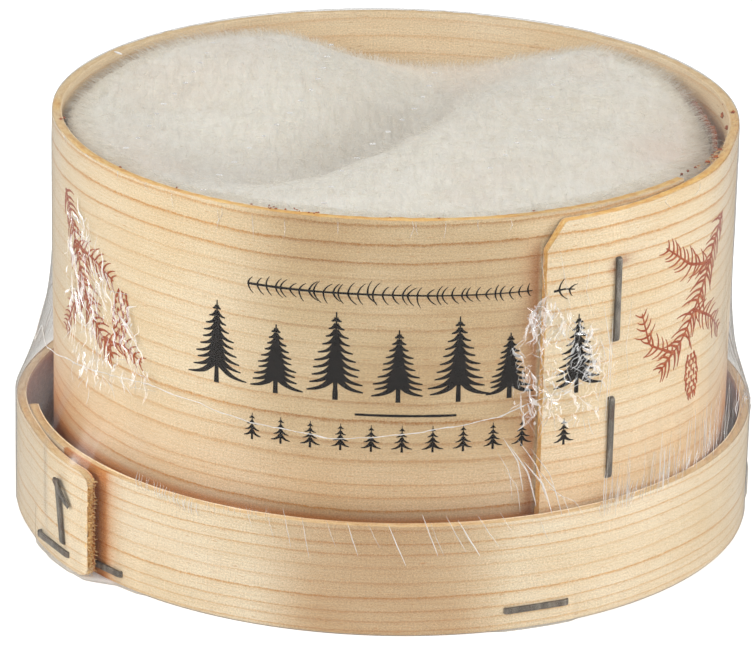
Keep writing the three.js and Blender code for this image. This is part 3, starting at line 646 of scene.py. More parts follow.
def box_ochre(a):
    w = np.abs(wrap(a))
    o = 0.75 * smooth(85, 62, w) + 0.25
    o = np.maximum(o, 0.95 * np.exp(-(wrap(a + 88) / 4.5) ** 2))
    return np.maximum(o, 0.75 * np.exp(-(wrap(a - 84) / 14.0) ** 2))


# painted shade with bounce light: orange-tinted darkening low on the box wall near the lid, strongest at the sides,
# full under the lid's rim, and a painted shadow beside the overlap's free end
def box_warm(a, z, f):
    out = smooth(40, 19, z) * (0.24 + 0.30 * smooth(45, 78, np.abs(wrap(a))) * smooth(140, 105, np.abs(wrap(a)))) + 0.40 * smooth(58, 85, np.abs(wrap(a))) * smooth(140, 105, np.abs(wrap(a))) * smooth(30, 19, z)
    out = np.maximum(out, 0.6 * np.exp(-(np.maximum(23.4 - wrap(a), 0) / 2.2) ** 1.4) * (wrap(a) < 24.0) * (wrap(a) > 10) * smooth(67.5, 62, z))
    out = np.where(z < 19.0, np.maximum(out, 0.9), out)
    return np.where(f > 0.9, 0.04, out)


def box_painted_front_shade(a, z, s):
    # painted shade: the wood is made darker and greyer, with darker growth lines, across the middle of the front,
    # before the overlap, where less light falls
    w = wrap(a)
    t = smooth(-31, -15, w) * smooth(31, 19, w) * (s < 300) * (0.25 + 0.75 * smooth(23, 35, z))
    return np.clip(t * (0.95 + 0.3 * vnoise(w * 0.08, z * 0.09, 0, 75)), 0, 1)


def box_stain(a, z, f):
    # painted shadow beside the overlap's free end
    w = wrap(a)
    return 0.42 * np.exp(-(np.maximum(23.6 - w, 0) / 1.5) ** 1.3) * (w < 24.0) * (w > 8) * smooth(66, 60, z) * (f < 0.5)


box_wall = strip("box_wall", M_BOX, "spruce_wall", "box_side_band", BOX_X, 54, -1, 390, BOX_R - WOOD, 0.35, 26,
                 BOX_Z[0], BOX_Z[1], WOOD, BOX_KNOTS, BOX_STR, box_drift, rows=58, hi_fn=box_hi,
                 stains=[(37.8, 60.2, 2.0, 0.9, 0.75), (36.2, 59.3, 0.9, 1.4, 0.7), (36.9, 46.9, 0.8, 1.0, 0.35)], seed=3,
                 knots2=FLAP_KNOTS, strengths2=FLAP_STR, ochre_fn=box_ochre, warm_fn=box_warm, painted_front_shade_fn=box_painted_front_shade, stain_fn=box_stain)

LID_KNOTS = [26, 23.5, 21.0, 18.6, 16.2, 14.4, 12.2, 9.5, 6.9, 4.4, 2.7, 1.1, -1.0, -3.2, -5.5]
LID_STR = [.6, .6, .7, .6, .8, .75, .35, .4, 1.0, .7, .6, .6, .6, .6, .6]


def lid_drift(s, z):
    return 0.5 * np.sin(s / 31.0 + 1.1) + 0.3 * np.sin(s / 73.0) + 0.2 * vnoise(s * 0.05, z * 0.03, 0, 72)


def lid_trim(back):
    return np.interp(back, [0, 0.35, 0.9, 2.2], [2.2, 1.1, 0.45, 0.0])


def lid_ochre(a):
    return 0.25 + 0.5 * np.exp(-(wrap(a + 77) / 6.0) ** 2)


# painted shade with bounce light: orange-tinted darkening on the lid's inner face below its rim, and a painted shadow
# beside the lid's free end
def lid_warm(a, z, f):
    return np.where(f > 0.9, 0.85 * smooth(19.3, 18, z), 0.0) + np.where(f < 0.5, np.minimum(1.5 * np.exp(-np.maximum(wrap(a + 48.6), 0) / 1.5), 1.0) * (a < 100) * (wrap(a) > -60), 0.0)


# painted shade: darker, greyer wood across the middle of the lid's front, where less light falls
def lid_painted_front_shade(a, z, s):
    w = wrap(a)
    t = smooth(-22, -9, w) * smooth(21, 9, w)
    return np.clip(t * (0.9 + 0.3 * vnoise(w * 0.08, z * 0.09, 0, 76)), 0, 1)


# painted shade on the lid's inner face below its rim, at the sides and back, and a painted shadow beside the lid's free
# end
def lid_stain(a, z, f):
    w = wrap(a)
    inner = 0.60 * (f > 0.9) * smooth(18.8, 17.8, z) * smooth(20, 70, np.abs(w))
    return np.maximum(inner, 0.30 * np.exp(-np.maximum(w + 48.6, 0) / 1.2) * (a < 100) * (w > -60) * (f < 0.5))


lid_wall = strip("lid_wall", M_LID, "spruce_wall", "lid_side_band", 0.0, -79, 1, 360 + 29.9, LID_R - WOOD, 0.8, 32,
                 0.15, LID_Z[1], WOOD, LID_KNOTS, LID_STR, lid_drift, rows=26, dcol=0.5,
                 hi_fn=lambda a, b: 19.3 - lid_trim(b) - 0.55 * smooth(30, 0, b), lo_fn=lambda a, b: 0.15 + lid_trim(b),
                 r_fn=lambda a, b: 0.35 * smooth(12, 0, b) - 0.62 * smooth(9, 22, b) * smooth(58, 34, b), end_rough=0.5, seed=8,
                 ochre_fn=lid_ochre, warm_fn=lid_warm, painted_front_shade_fn=lid_painted_front_shade, stain_fn=lid_stain)


# ------------------------------------------------------------------ discs
def disc(name, node, r, z0, z1, cx, seed):
    n = 240
    prof = [(0.0, z0), (0.5 * r, z0), (r - 0.25, z0), (r, z0 + 0.2), (r, z1 - 0.2), (r - 0.25, z1), (0.5 * r, z1), (0.0, z1)]
    ang = np.arange(n) * 360 / n
    rings = []
    for (rr, z) in prof[1:-1]:
        jig = 0.06 * vnoise(ang * 0.4, rr, 0, seed) if rr > r - 1 else 0
        rings.append(at(rr - np.abs(jig), ang, z, cx))
    v = np.concatenate(rings + [[[cx, 0, z0]], [[cx, 0, z1]]])
    m = len(rings)
    k = np.arange(n)
    k2 = (k + 1) % n
    q = np.concatenate([np.stack([q0 * n + k, q0 * n + k2, (q0 + 1) * n + k2, (q0 + 1) * n + k], -1) for q0 in range(m - 1)])
    t = np.concatenate([np.stack([np.full(n, m * n), k2, k], -1), np.stack([np.full(n, m * n + 1), (m - 1) * n + k, (m - 1) * n + k2], -1)])
    o = make_mesh(name, v, [q, t], [M_SAWN])
    o.data.set_sharp_from_angle(angle=math.radians(40))
    return place(o, "spruce_disc", node)


disc("lid_board", "lid_disc", 60.35, 0.75, 4.55, 0.0, 31)
disc("box_floor_board", "box_base_disc", 56.05, 5.3, 9.1, BOX_X, 32)
for nme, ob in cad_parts.items():
    if nme.startswith("box_base_staple"):
        ob.data.materials.clear()
        ob.data.materials.append(M_STEEL)


# ------------------------------------------------------------------ staples
def wire(name, node, pts, width_dir, w=1.1, t=0.55, seed=1, extra=None):
    """Flat wire swept along pts (mm). width_dir is the direction of its width."""
    pts = np.asarray(pts, float)
    # rounded polyline, resampled every 0.25 mm
    d = np.concatenate([[0], np.cumsum(np.linalg.norm(np.diff(pts, axis=0), axis=1))])
    u = np.linspace(0, d[-1], int(d[-1] / 0.25) + 2)
    p = np.stack([np.interp(u, d, pts[:, k]) for k in range(3)], -1)
    for _ in range(3):
        p[1:-1] = (p[:-2] + 2 * p[1:-1] + p[2:]) / 4
    tang = np.gradient(p, axis=0)
    tang /= np.linalg.norm(tang, axis=1, keepdims=True)
    wd = np.broadcast_to(np.asarray(width_dir, float), p.shape)
    nd = np.cross(tang, wd)
    nd /= np.linalg.norm(nd, axis=1, keepdims=True)
    wd = np.cross(nd, tang)
    # rounded rectangle section
    k = 16
    a = np.linspace(0, 2 * np.pi, k, endpoint=False) + np.pi / k
    e = 0.42
    cx = np.sign(np.cos(a)) * np.abs(np.cos(a)) ** e * w / 2
    cy = np.sign(np.sin(a)) * np.abs(np.sin(a)) ** e * t / 2
    n = len(p)
    j = 0.035 * vnoise(np.arange(n) * 0.21, 0.3, 0, seed)
    taper = np.ones(n)
    ends = np.minimum(np.arange(n), np.arange(n)[::-1]) * 0.25
    taper = 0.35 + 0.65 * smooth(0, 1.1, ends)
    ring = p[:, None] + (cx[None, :, None] * wd[:, None] + cy[None, :, None] * nd[:, None] * taper[:, None, None]) * (1 + j)[:, None, None]
    v = np.concatenate([ring.reshape(-1, 3), p[:1], p[-1:]])
    i0 = np.arange(n - 1)[:, None] * k
    kk = np.arange(k)[None]
    k2 = (kk + 1) % k
    q = np.stack([i0 + kk, i0 + k2, i0 + k + k2, i0 + k + kk], -1).reshape(-1, 4)
    kk = np.arange(k)
    k2 = (kk + 1) % k
    tt = np.concatenate([np.stack([np.full(k, n * k), k2, kk], -1), np.stack([np.full(k, n * k + 1), (n - 1) * k + kk, (n - 1) * k + k2], -1)])
    # outward winding
    c0 = np.cross(v[q[0][1]] - v[q[0][0]], v[q[0][3]] - v[q[0][0]])
    mid = v[q[0]].mean(0) - p[0]
    if np.dot(c0, mid) < 0:
        q, tt = q[:, ::-1], tt[:, ::-1]
    o = make_mesh(name, v, [q, tt], [M_STEEL])
    return place(o, "staple_steel", node)


def flat_staple(name, node, a, z, r, cx, crown=11.7, leg=6.6, tilt=0.0, seed=1):
    rc = r + 0.03 + 0.275
    half = crown / 2 - 0.275
    da = np.degrees(half / rc)
    w = at(rc - leg, a, z, cx)
    rad_dir = at(1, a, 0)
    tan_dir = np.array([np.cos(np.radians(a)), np.sin(np.radians(a)), 0])
    e0, e1 = at(rc + 0.06, a - da, z - tilt, cx), at(rc + 0.06, a + da, z + tilt, cx)
    arc = [e0 + (e1 - e0) * t for t in np.linspace(0, 1, 9)]
    p0 = arc[0] - rad_dir * leg
    p1 = arc[-1] - rad_dir * leg
    pts = [p0] + arc + [p1]
    return wire(name, node, pts, (0, 0, 1), seed=seed)


LOF = LID_R + 0.8 + WOOD + 0.2
flat_staple("lid_clip_1", "lid_staple_1", -59.0, 2.6, LOF - 0.1, 0, 11.4, 8.8, seed=11)
flat_staple("lid_clip_2", "lid_staple_2", -47.4, 2.2, LID_R, 0, 7.4, seed=12)
flat_staple("lid_clip_3", "lid_staple_3", 23.5, 3.6, LID_R, 0, seed=13)
flat_staple("lid_clip_4", "lid_staple_4", 96, 3.1, LID_R, 0, seed=14)
flat_staple("lid_clip_5", "lid_staple_5", 168, 3.0, LID_R, 0, seed=15)
flat_staple("lid_clip_6", "lid_staple_6", -124, 3.0, LID_R, 0, seed=16)


def upright(name, node, a, ztop, zlow, r_out, r_in, cx, seed, lean=0.0):
    rc = r_out + 0.06 + 0.275
    ri = r_in - 0.3 - 0.275
    hi, lo = ztop - 0.275, zlow + 0.275
    P = lambda r, z: at(r, a + lean * (z - lo) / (hi - lo), z, cx)
    pts = [P(ri, hi - 3.9), P(ri, hi), P(rc, hi)] + [P(rc, z) for z in np.linspace(hi, lo, 8)[1:-1]] + [P(rc, lo), P(ri, lo), P(ri, lo + 3.9)]
    tan_dir = np.array([np.cos(np.radians(a)), np.sin(np.radians(a)), 0])
    return wire(name, node, pts, tan_dir, seed=seed)


BOF = BOX_R + 0.35 + WOOD
upright("box_clip_upper", "box_seam_staple_upper", 37.0, 61.1, 46.5, BOF, BOX_R - WOOD, BOX_X, 21)
upright("box_clip_lower", "box_seam_staple_lower", 36.6, 37.1, 22.8, BOF, BOX_R - WOOD, BOX_X, 22)

# the lid's seam staple, with its upper leg folded down over the crown
a0 = -57.3
rc = LOF + 0.05 + 0.275
td = np.array([np.cos(np.radians(a0)), np.sin(np.radians(a0)), 0])
pts = [at(rc - 7.2, a0 + 1.6, 4.2), at(rc, a0 + 1.6, 4.2)]
pts += [at(rc, a0 + 1.6 - 1.5 * t, 4.2 + 10.9 * t) for t in np.linspace(0, 1, 9)[1:]]
pts += [at(rc + 0.45, a0 + 0.2, 15.35), at(rc + 0.58, a0 + 1.3, 14.3), at(rc + 0.4, a0 + 2.5, 12.7), at(rc + 0.15, a0 + 3.6, 11.4)]
wire("lid_seam_clip", "lid_seam_staple", pts, td, seed=23)


# ------------------------------------------------------------------ bark strap
def strap_top(a):
    dip = 1 - smooth(9, 26, np.abs(wrap(a - 174)))
    return 65.0 + 0.7 * np.sin(np.radians(3 * a + 20)) + 0.5 * np.sin(np.radians(7 * a)) - 7.2 * dip


def bark():
    sweep, t = 382.0, 1.1
    s = np.arange(0, sweep + 0.1, 0.5)
    a = 150 - s
    r_out = 55.15 - smooth(338, 358, s) * (t + 0.3)
    smm = np.radians(s) * 55
    rows = 46
    zr = np.linspace(0, 1, rows + 1)
    top = strap_top(a) + 1.1 * vnoise(smm * 0.25, 0.0, 0, 41) + 0.6 * vnoise(smm * 0.9, 0.0, 0, 42) + 0.3 * vnoise(smm * 2.1, 0, 0, 43)
    top = np.minimum(top, 67.2)
    z = 9.5 + (top - 9.5)[:, None] * zr[None]
    A = np.broadcast_to(a[:, None], z.shape)
    S = np.broadcast_to(smm[:, None], z.shape)
    rough = 0.14 * fbm(S * 0.25, z * 0.6, 0, 44, 4)
    ro = r_out[:, None] - 0.12 + rough * 0.7
    ri = r_out[:, None] - t + 0.1 + rough * 0.5
    outer = at(ro, A, z, BOX_X)
    inner = at(ri, A, z, BOX_X)
    n, m = z.shape
    v = np.concatenate([outer.reshape(-1, 3), inner.reshape(-1, 3)])
    I0 = np.arange(n * m).reshape(n, m)
    I1 = I0 + n * m
    Q = lambda A_, B_, C_, D_: np.stack([A_, B_, C_, D_], -1).reshape(-1, 4)
    q = [Q(I0[:-1, :-1], I0[:-1, 1:], I0[1:, 1:], I0[1:, :-1]), Q(I1[:-1, :-1], I1[1:, :-1], I1[1:, 1:], I1[:-1, 1:]),
         Q(I0[:-1, -1], I1[:-1, -1], I1[1:, -1], I0[1:, -1]), Q(I0[:-1, 0], I0[1:, 0], I1[1:, 0], I1[:-1, 0]),
         Q(I0[0, :-1], I1[0, :-1], I1[0, 1:], I0[0, 1:]), Q(I0[-1, :-1], I0[-1, 1:], I1[-1, 1:], I1[-1, :-1])]
    o = make_mesh("bark_strip", v, np.concatenate(q), [M_BARK])
    return place(o, "spruce_bark", "bark_strap")


bark()


# ------------------------------------------------------------------ cheese
def seg_dist(x, y, line):
    d = np.full(np.shape(x), 1e9)
    side = np.zeros(np.shape(x))
    along = np.zeros(np.shape(x))
    total = 0.0
    for (x0, y0), (x1, y1) in zip(line[:-1], line[1:]):
        L2 = (x1 - x0) ** 2 + (y1 - y0) ** 2
        L = math.sqrt(L2)
        t = np.clip(((x - x0) * (x1 - x0) + (y - y0) * (y1 - y0)) / L2, 0, 1)
        dd = np.hypot(x - x0 - t * (x1 - x0), y - y0 - t * (y1 - y0))
        sg = np.sign((x1 - x0) * (y - y0) - (y1 - y0) * (x - x0))
        near = dd < d
        d = np.where(near, dd, d)
        side = np.where(near, sg, side)
        along = np.where(near, total + t * L, along)
        total += L
    return d, side, along


# heights of the rind (x, y, z), mm from the box's centre, and of its edge round the wall (angle, z)
HUMPS = [(-39, 11, 65.9), (-33, -5, 65.2), (-30, -15, 65.6), (-48, -5, 68.3), (-40, -25, 68.7), (-50, 15, 68.2), (-27, -45, 68.9),
         (-32, 27, 69.0), (-17, 34, 68.7), (-46, 28, 68.9), (-24, 12, 67.0), (-14, 14, 66.1), (-9, 24, 66.2), (-18, 0, 65.0), (-6, 36, 65.4),
         (-20, -13, 63.6), (-24, -25, 64.6), (-14, -17, 62.4), (-5.6, -8.9, 61.3), (-0.5, 2, 60.9), (4.5, 13.5, 60.8), (8, 26, 60.6),
         (8, 40, 60.4), (-28, -34, 67.2), (-16, -26, 65.4), (-6, -17.5, 66.2), (1.5, -9, 67.0), (7, 0, 67.3), (12, 12, 67.2), (16, 25, 65.6), (18, 38, 63.4),
         (-12, -36, 68.4), (3, -26, 68.6), (14, -12, 69.0), (22, -2, 69.1), (22, 12, 69.0), (18, -30, 68.9), (30, -30, 69.1), (36, -14, 69.0),
         (31, 2, 67.9), (40, -1, 67.7), (36, 12, 69.0), (36, 25, 68.0), (28, 26, 68.3), (44, 20, 68.6), (30, 36, 68.3), (47, 4, 67.6), (48, -10, 67.6),
         (5, -45, 68.9), (25, -45, 68.9), (40, -32, 68.6)]
EDGE = [(-180, 60.9), (-175, 61.7), (-171, 62.4), (-165, 64.5), (-159, 66.8), (-149, 68.2), (-138, 69.2), (-118, 69.2), (-90, 69.2), (-60, 69.2),
        (-30, 69.0), (0, 68.9), (30, 69.0), (50, 68.6), (65, 67.4), (80, 66.4), (95, 66.2), (108, 67.2), (116, 68.5), (127, 68.6), (135, 68.8),
        (142, 67.7), (149, 65.9), (157, 63.8), (164, 61.9), (172, 60.8)]


def tps(points, heights):
    """Thin plate spline through scattered heights."""
    p = np.asarray(points, float)
    n = len(p)

    def phi(d2):
        return np.where(d2 > 1e-9, 0.5 * d2 * np.log(np.maximum(d2, 1e-9)), 0.0)
    K = phi(((p[:, None] - p[None]) ** 2).sum(-1)) + np.eye(n) * 6.0
    P = np.column_stack([np.ones(n), p])
    A = np.block([[K, P], [P.T, np.zeros((3, 3))]])
    w = np.linalg.solve(A, np.concatenate([heights, np.zeros(3)]))

    def f(x, y):
        x, y = np.broadcast_arrays(np.asarray(x, float), np.asarray(y, float))
        q = np.stack([x.ravel(), y.ravel()], -1)
        z = w[n] + q @ w[n + 1:]
        for k in range(n):
            z = z + w[k] * phi(((q - p[k]) ** 2).sum(-1))
        return z.reshape(x.shape)
    return f


_pts = [(x, y) for x, y, _ in HUMPS] + [(55.5 * math.sin(math.radians(a)), -55.5 * math.cos(math.radians(a))) for a, _ in EDGE]
_hts = [z for _, _, z in HUMPS] + [z for _, z in EDGE]
BODY = tps(_pts, _hts)
CREASE = [(-27, -31), (-21.1, -24.0), (-12, -15.5), (-5.0, -8.3), (0.6, 1.5), (5.2, 13.5), (9.4, 26), (11, 38)]


def cheese_top(x, y):
    """Height of the rind at (x, y), in mm, from the box's centre."""
    z = BODY(x, y)
    d, side, along = seg_dist(x, y, CREASE)
    z = z - 0.9 * np.exp(-(d / 1.8) ** 1.5) * smooth(0, 12, along) * smooth(78, 55, along)
    z = z + 0.22 * fbm(x * 0.07, y * 0.07, 0, 51, 3) + 0.07 * fbm(x * 0.3, y * 0.3, 0, 55, 2)
    return np.clip(z, 55, 69.6)


def cheese_radius(a):
    """Where the rind's shoulder turns down; it leans on the wall at the front and left."""
    aa = np.array([-180, -150, -120, -90, -60, -30, 0, 30, 55, 70, 85, 100, 112, 125, 150, 165, 180])
    rr = np.array([55.9, 55.4, 54.8, 55.4, 55.9, 56.0, 56.0, 55.9, 55.5, 54.4, 53.2, 53.0, 53.8, 55.0, 55.7, 56.0, 55.9])
    return np.interp(wrap(a), aa, rr)


def cheese():
    n = 420
    ang = np.arange(n) * 360.0 / n
    R = cheese_radius(ang) + 0.25 * vnoise(ang * 0.22, 0, 0, 61) + 0.12 * vnoise(ang * 0.9, 0, 0, 62)
    rings, pink, shade = [], [], []
    fr = np.concatenate([np.linspace(0.0, 0.9, 78)[1:], np.linspace(0.9, 0.985, 14)[1:]])
    for f in fr:
        r = R * f
        x, y = r * np.sin(np.radians(ang)), -r * np.cos(np.radians(ang))
        z = cheese_top(x, y) + 0.10 * fbm(x * 0.9, y * 0.9, 0, 65, 3)
        # rounded shoulder
        z = z - 1.3 * smooth(0.94, 1.0, f) ** 2
        rings.append(np.stack([x + BOX_X, y, z], -1))
    # over the shoulder and down the side
    x, y = R * 0.985 * np.sin(np.radians(ang)), -R * 0.985 * np.cos(np.radians(ang))
    z0 = rings[-1][:, 2]
    strap = strap_top(ang)
    z0 = np.maximum(z0, strap - 0.6)
    rin = 53.65 - smooth(31, 15, np.abs(wrap(ang - 139))) * 1.55
    for k, (fr_r, dz) in enumerate([(1.0, 0.7), (1.005, 1.6), (1.0, 2.7)]):
        rings.append(at(R * fr_r, ang, z0 - dz, BOX_X))
    zs = np.minimum(z0 - 3.4, 61.5)
    rings.append(at(np.minimum(R - 0.2, rin + 0.3), ang, np.minimum(zs, strap - 3.2), BOX_X))
    for z in (52.0, 38.0, 24.0, 11.0):
        rings.append(at(rin + 0.08 * vnoise(ang * 0.3, z, 0, 66), ang, z, BOX_X))
    rings.append(at(rin - 1.2, ang, 9.4, BOX_X))
    v = np.concatenate(rings + [[[BOX_X, 0, float(cheese_top(np.zeros(1), np.zeros(1))[0])]], [[BOX_X, 0, 9.4]]])
    m = len(rings)
    k = np.arange(n)
    k2 = (k + 1) % n
    q = np.concatenate([np.stack([a_ * n + k, (a_ + 1) * n + k, (a_ + 1) * n + k2, a_ * n + k2], -1) for a_ in range(m - 1)])
    t = np.concatenate([np.stack([np.full(n, m * n), k, k2], -1), np.stack([np.full(n, m * n + 1), (m - 1) * n + k2, (m - 1) * n + k], -1)])
    X, Y, Z = v[:, 0], v[:, 1], v[:, 2]
    r = np.hypot(X, Y)
    A = np.degrees(np.arctan2(X, -Y))
    near = lambda c, w: np.exp(-((wrap(A - c)) / w) ** 2)
    pinkv = 0.34 * near(78, 24) * smooth(36, 50, r) + 0.22 * np.clip(fbm(X * 0.07, Y * 0.07, 0, 67, 3), 0, 1) * smooth(20, 50, r)
    shade = np.concatenate([np.zeros(len(fr) * n), np.full(m * n - len(fr) * n, 0.85), [0, 0]])
    shade = np.maximum(shade, 0.8 * near(94, 20) * smooth(50.5, 53.2, r))
    vd = seg_dist(X, Y, CREASE)[0]
    shade = np.maximum(shade, (0.12 * np.exp(-(vd / 7.5) ** 2) + 0.10 * np.exp(-(vd / 1.8) ** 2)) * (Z > 55))
    left = np.sign(seg_dist(np.array([-30.0]), np.array([10.0]), CREASE)[1][0])
    sd = seg_dist(X, Y, CREASE)[1]
    shade = np.maximum(shade, 0.19 * np.exp(-((vd - 5.0) / 9.0) ** 2) * (np.sign(sd) == left) * smooth(34, 20, Y) * (Z > 55) * smooth(56, 50, r))
    o = make_mesh("cheese_wheel", v, [q, t], [M_RIND], dict(pink=np.clip(pinkv, 0, 1), shade=np.clip(shade, 0, 1)))
    return place(o, "mould_rind", "cheese")


cheese()


def down():
    """Fine mould threads on the rind: short on the top, longer and combed outwards at the rim."""
    rng = np.random.default_rng(7)
    base, tip, width, rnd = [], [], [], []

    def grow(x, y, length, lean_x, lean_y, up, wd):
        z = cheese_top(x, y)
        r = np.hypot(x, y)
        R = cheese_radius(np.degrees(np.arctan2(x, -y)))
        z = z - 1.3 * smooth(0.94, 1.0, r / R) ** 2 - 0.08
        b = np.stack([x + BOX_X, y, z], -1)
        d = np.stack([lean_x, lean_y, up], -1)
        d /= np.linalg.norm(d, axis=1, keepdims=True)
        t = b + d * length[:, None]
        t[:, 2] = np.minimum(t[:, 2], 69.95)
        rr = np.hypot(t[:, 0] - BOX_X, t[:, 1])
        lim = np.where(t[:, 2] < 69.6, 56.2, 57.0)
        f = np.minimum(1, lim / np.maximum(rr, 1e-6))
        t[:, 0] = BOX_X + (t[:, 0] - BOX_X) * f
        t[:, 1] *= f
        base.append(b)
        tip.append(t)
        width.append(wd)
        rnd.append(rng.random(len(x)))

    # over the top: combed, lying nearly flat
    n = 27000
    r = 55.0 * np.sqrt(rng.random(n))
    a = rng.random(n) * 2 * np.pi
    x, y = r * np.sin(a), -r * np.cos(a)
    th = 1.9 * fbm(x * 0.035, y * 0.035, 0, 81, 2) + math.pi * 0.5 + 0.35 * rng.normal(size=n)
    sg = np.where(rng.random(n) < 0.8, -1, 1)
    clump = smooth(-0.2, 0.5, vnoise(x * 0.9, y * 0.9, 0, 83))
    grow(x, y, (0.6 + 1.7 * rng.random(n)) * (0.6 + 0.6 * clump), sg * np.cos(th), sg * np.sin(th), 0.08 + 0.34 * rng.random(n) * clump, 0.04 + 0.06 * rng.random(n) ** 2)
    # rim: longer, combed outwards over the gap
    n = 15000
    a = rng.random(n) * 360
    Rr = cheese_radius(a)
    r = Rr * (0.91 + 0.085 * rng.random(n))
    x, y = r * np.sin(np.radians(a)), -r * np.cos(np.radians(a))
    L = 1.0 + 2.2 * rng.random(n)
    ox, oy = np.sin(np.radians(a + 14 * rng.normal(size=n))), -np.cos(np.radians(a + 14 * rng.normal(size=n)))
    grow(x, y, L, ox, oy, 0.10 + 0.30 * rng.random(n), 0.035 + 0.03 * rng.random(n))
    base, tip, width, rnd = (np.concatenate(q) for q in (base, tip, width, rnd))
    n = len(base)
    d = tip - base
    mid = base + d * 0.55 + np.stack([rng.normal(size=n), rng.normal(size=n), np.abs(rng.normal(size=n)) + 0.3], -1) * 0.08 * np.linalg.norm(d, axis=1, keepdims=True)
    side = np.cross(d, np.array([0.0, 0.0, 1.0]) + 0.4 * rng.normal(size=(n, 3)))
    side /= np.linalg.norm(side, axis=1, keepdims=True) + 1e-9
    w = (width * 0.5)[:, None]
    v = np.stack([base - side * w, base + side * w, mid - side * w * 0.8, mid + side * w * 0.8, tip], 1).reshape(-1, 3)
    i = np.arange(n)[:, None] * 5
    q = i + np.array([[0, 1, 3, 2]])
    t = i + np.array([[2, 3, 4]])
    u = np.tile(np.array([0, 0, 0.5, 0.5, 1.0]), n)
    o = make_mesh("cheese_down", v, [q, t], [M_HAIR], dict(u=u, rnd=np.repeat(rnd, 5)))
    return place(o, "mould_rind")


down()


# ------------------------------------------------------------------ camera numbers, used to place what is seen on the film
f_px, elev, roll, D, zt, xt = 4735.2827, 0.3571, 0.0223, 815.0836, 30.8137, -2.3127
CAM = np.array([xt, -D * np.cos(elev), zt + D * np.sin(elev)])
FW = np.array([0, np.cos(elev), -np.sin(elev)])
UPV = np.cross([1.0, 0, 0], FW)
CX = np.array([1.0, 0, 0]) * np.cos(roll) + UPV * np.sin(roll)
CY = -np.array([1.0, 0, 0]) * np.sin(roll) + UPV * np.cos(roll)


def near(deg, centre, inner, outer):
    return smooth(outer, inner, np.abs(wrap(deg - centre)))


def stretched(radius, extra=()):
    """Radius of a film stretched round an outline: the outline's convex hull. extra holds (angle, half width in mm, radius)."""
    a = np.radians(np.arange(0, 360, 0.5))
    r = radius(np.degrees(a))
    x, y = [r * np.sin(a)], [-r * np.cos(a)]
    for (c, hw, rr) in extra:
        for w in (-hw, hw):
            q = at(rr, c, 0)[:2] + w * np.array([np.cos(np.radians(c)), np.sin(np.radians(c))])
            x.append([q[0]])
            y.append([q[1]])
    x, y = np.concatenate(x), np.concatenate(y)
    h = (x[None] * np.sin(a)[:, None] - y[None] * np.cos(a)[:, None]).max(1)
    c = np.cos(a[:, None] - a[None])
    hull = np.where(c > 0.6, h[:, None] / np.maximum(c, 0.6), 1e9).min(0)
    return np.concatenate([hull, hull[:1]])


def lid_outer(deg):
    """Outer radius of the lid's wall."""
    s_deg = np.mod(np.asarray(deg, float) + 79.0, 360.0)
    s_deg = np.where(s_deg < 30.6, s_deg + 360.0, s_deg)
    b = 390.6 - s_deg
    return LID_R + smooth(328, 357, s_deg) * (WOOD + 0.8) + 0.35 * smooth(12, 0, b) - 0.62 * smooth(9, 22, b) * smooth(58, 34, b)


def box_outer(deg):
    w = wrap(deg)
    s_deg = np.where(w < 24.0, 54 - w, 414 - w)
    own = BOX_R + smooth(334, 357, s_deg) * (WOOD + 0.35)
    return own + BOX_X * np.sin(np.radians(deg))


_grid = np.arange(0, 360.1, 0.5)
BOX_HULL = stretched(box_outer, [(36.8, 0.55, BOX_R + WOOD + 0.35 + 0.95)])
_own = np.max([lid_outer(_grid + d) for d in np.linspace(-1.2, 1.2, 9)], axis=0)
LID_TIGHT = np.mean([np.interp(np.mod(_grid + d, 360), _grid, _own) for d in np.linspace(-2.2, 2.2, 23)], axis=0)


def film_box_r(deg):
    return np.interp(np.mod(deg, 360), _grid, BOX_HULL) + 0.20


def film_lid_r(deg):
    return np.interp(np.mod(deg, 360), _grid, LID_TIGHT) + 0.24 + 0.75 * near(deg, -56.2, 2.6, 6.5)


def film_foot_r(deg):
    bump = np.zeros_like(np.asarray(deg, float))
    for a_ in (-59.0, -46.4, 23.5, 96, 168, -124):
        bump = np.maximum(bump, near(deg, a_, 5.4, 7.6))
    return np.maximum(film_lid_r(deg), np.interp(np.mod(deg, 360), _grid, LID_TIGHT) + 0.24 + 0.52 * bump)


def film_radius(deg, z):
    """Outer radius of the film's wall at a height."""
    b, l, f = film_box_r(deg), film_lid_r(deg), film_foot_r(deg)
    start = 45 - 6 * near(deg, 90, 20, 80)
    t = np.clip((start - z) / (start - 19.6), 0, 1)
    flare = 0.15 * t + 0.85 * t ** 2.1
    r = np.where(z > 19.6, b + (l - b) * flare, l)
    r = r - 0.08 * smooth(64, 68, z)
    lowz = smooth(8.2, 5.2, z)
    return np.where(z < 19.6, l + (f - l) * lowz, r)


def film_point(deg, z, lift=0.0):
    return at(film_radius(np.asarray(deg, float), np.asarray(z, float)) + lift, deg, z)


def seen(u, v, lift=0.0):
    """Angle and height on the film of a direction (u, v) from the camera."""
    u, v = np.broadcast_arrays(np.asarray(u, float), np.asarray(v, float))
    d = FW + (u[..., None] - 376) / f_px * CX + (323.5 - v[..., None]) / f_px * CY
    r = np.full(u.shape, 58.6)
    for _ in range(14):
        aa = d[..., 0] ** 2 + d[..., 1] ** 2
        bb = 2 * (CAM[0] * d[..., 0] + CAM[1] * d[..., 1])
        cc = CAM[0] ** 2 + CAM[1] ** 2 - r * r
        t = (-bb - np.sqrt(np.maximum(bb * bb - 4 * aa * cc, 0))) / (2 * aa)
        p = CAM + t[..., None] * d
        deg = np.degrees(np.arctan2(p[..., 0], -p[..., 1]))
        z = p[..., 2]
        r = 0.5 * r + 0.5 * (film_radius(deg, z) + lift)
    return deg, z


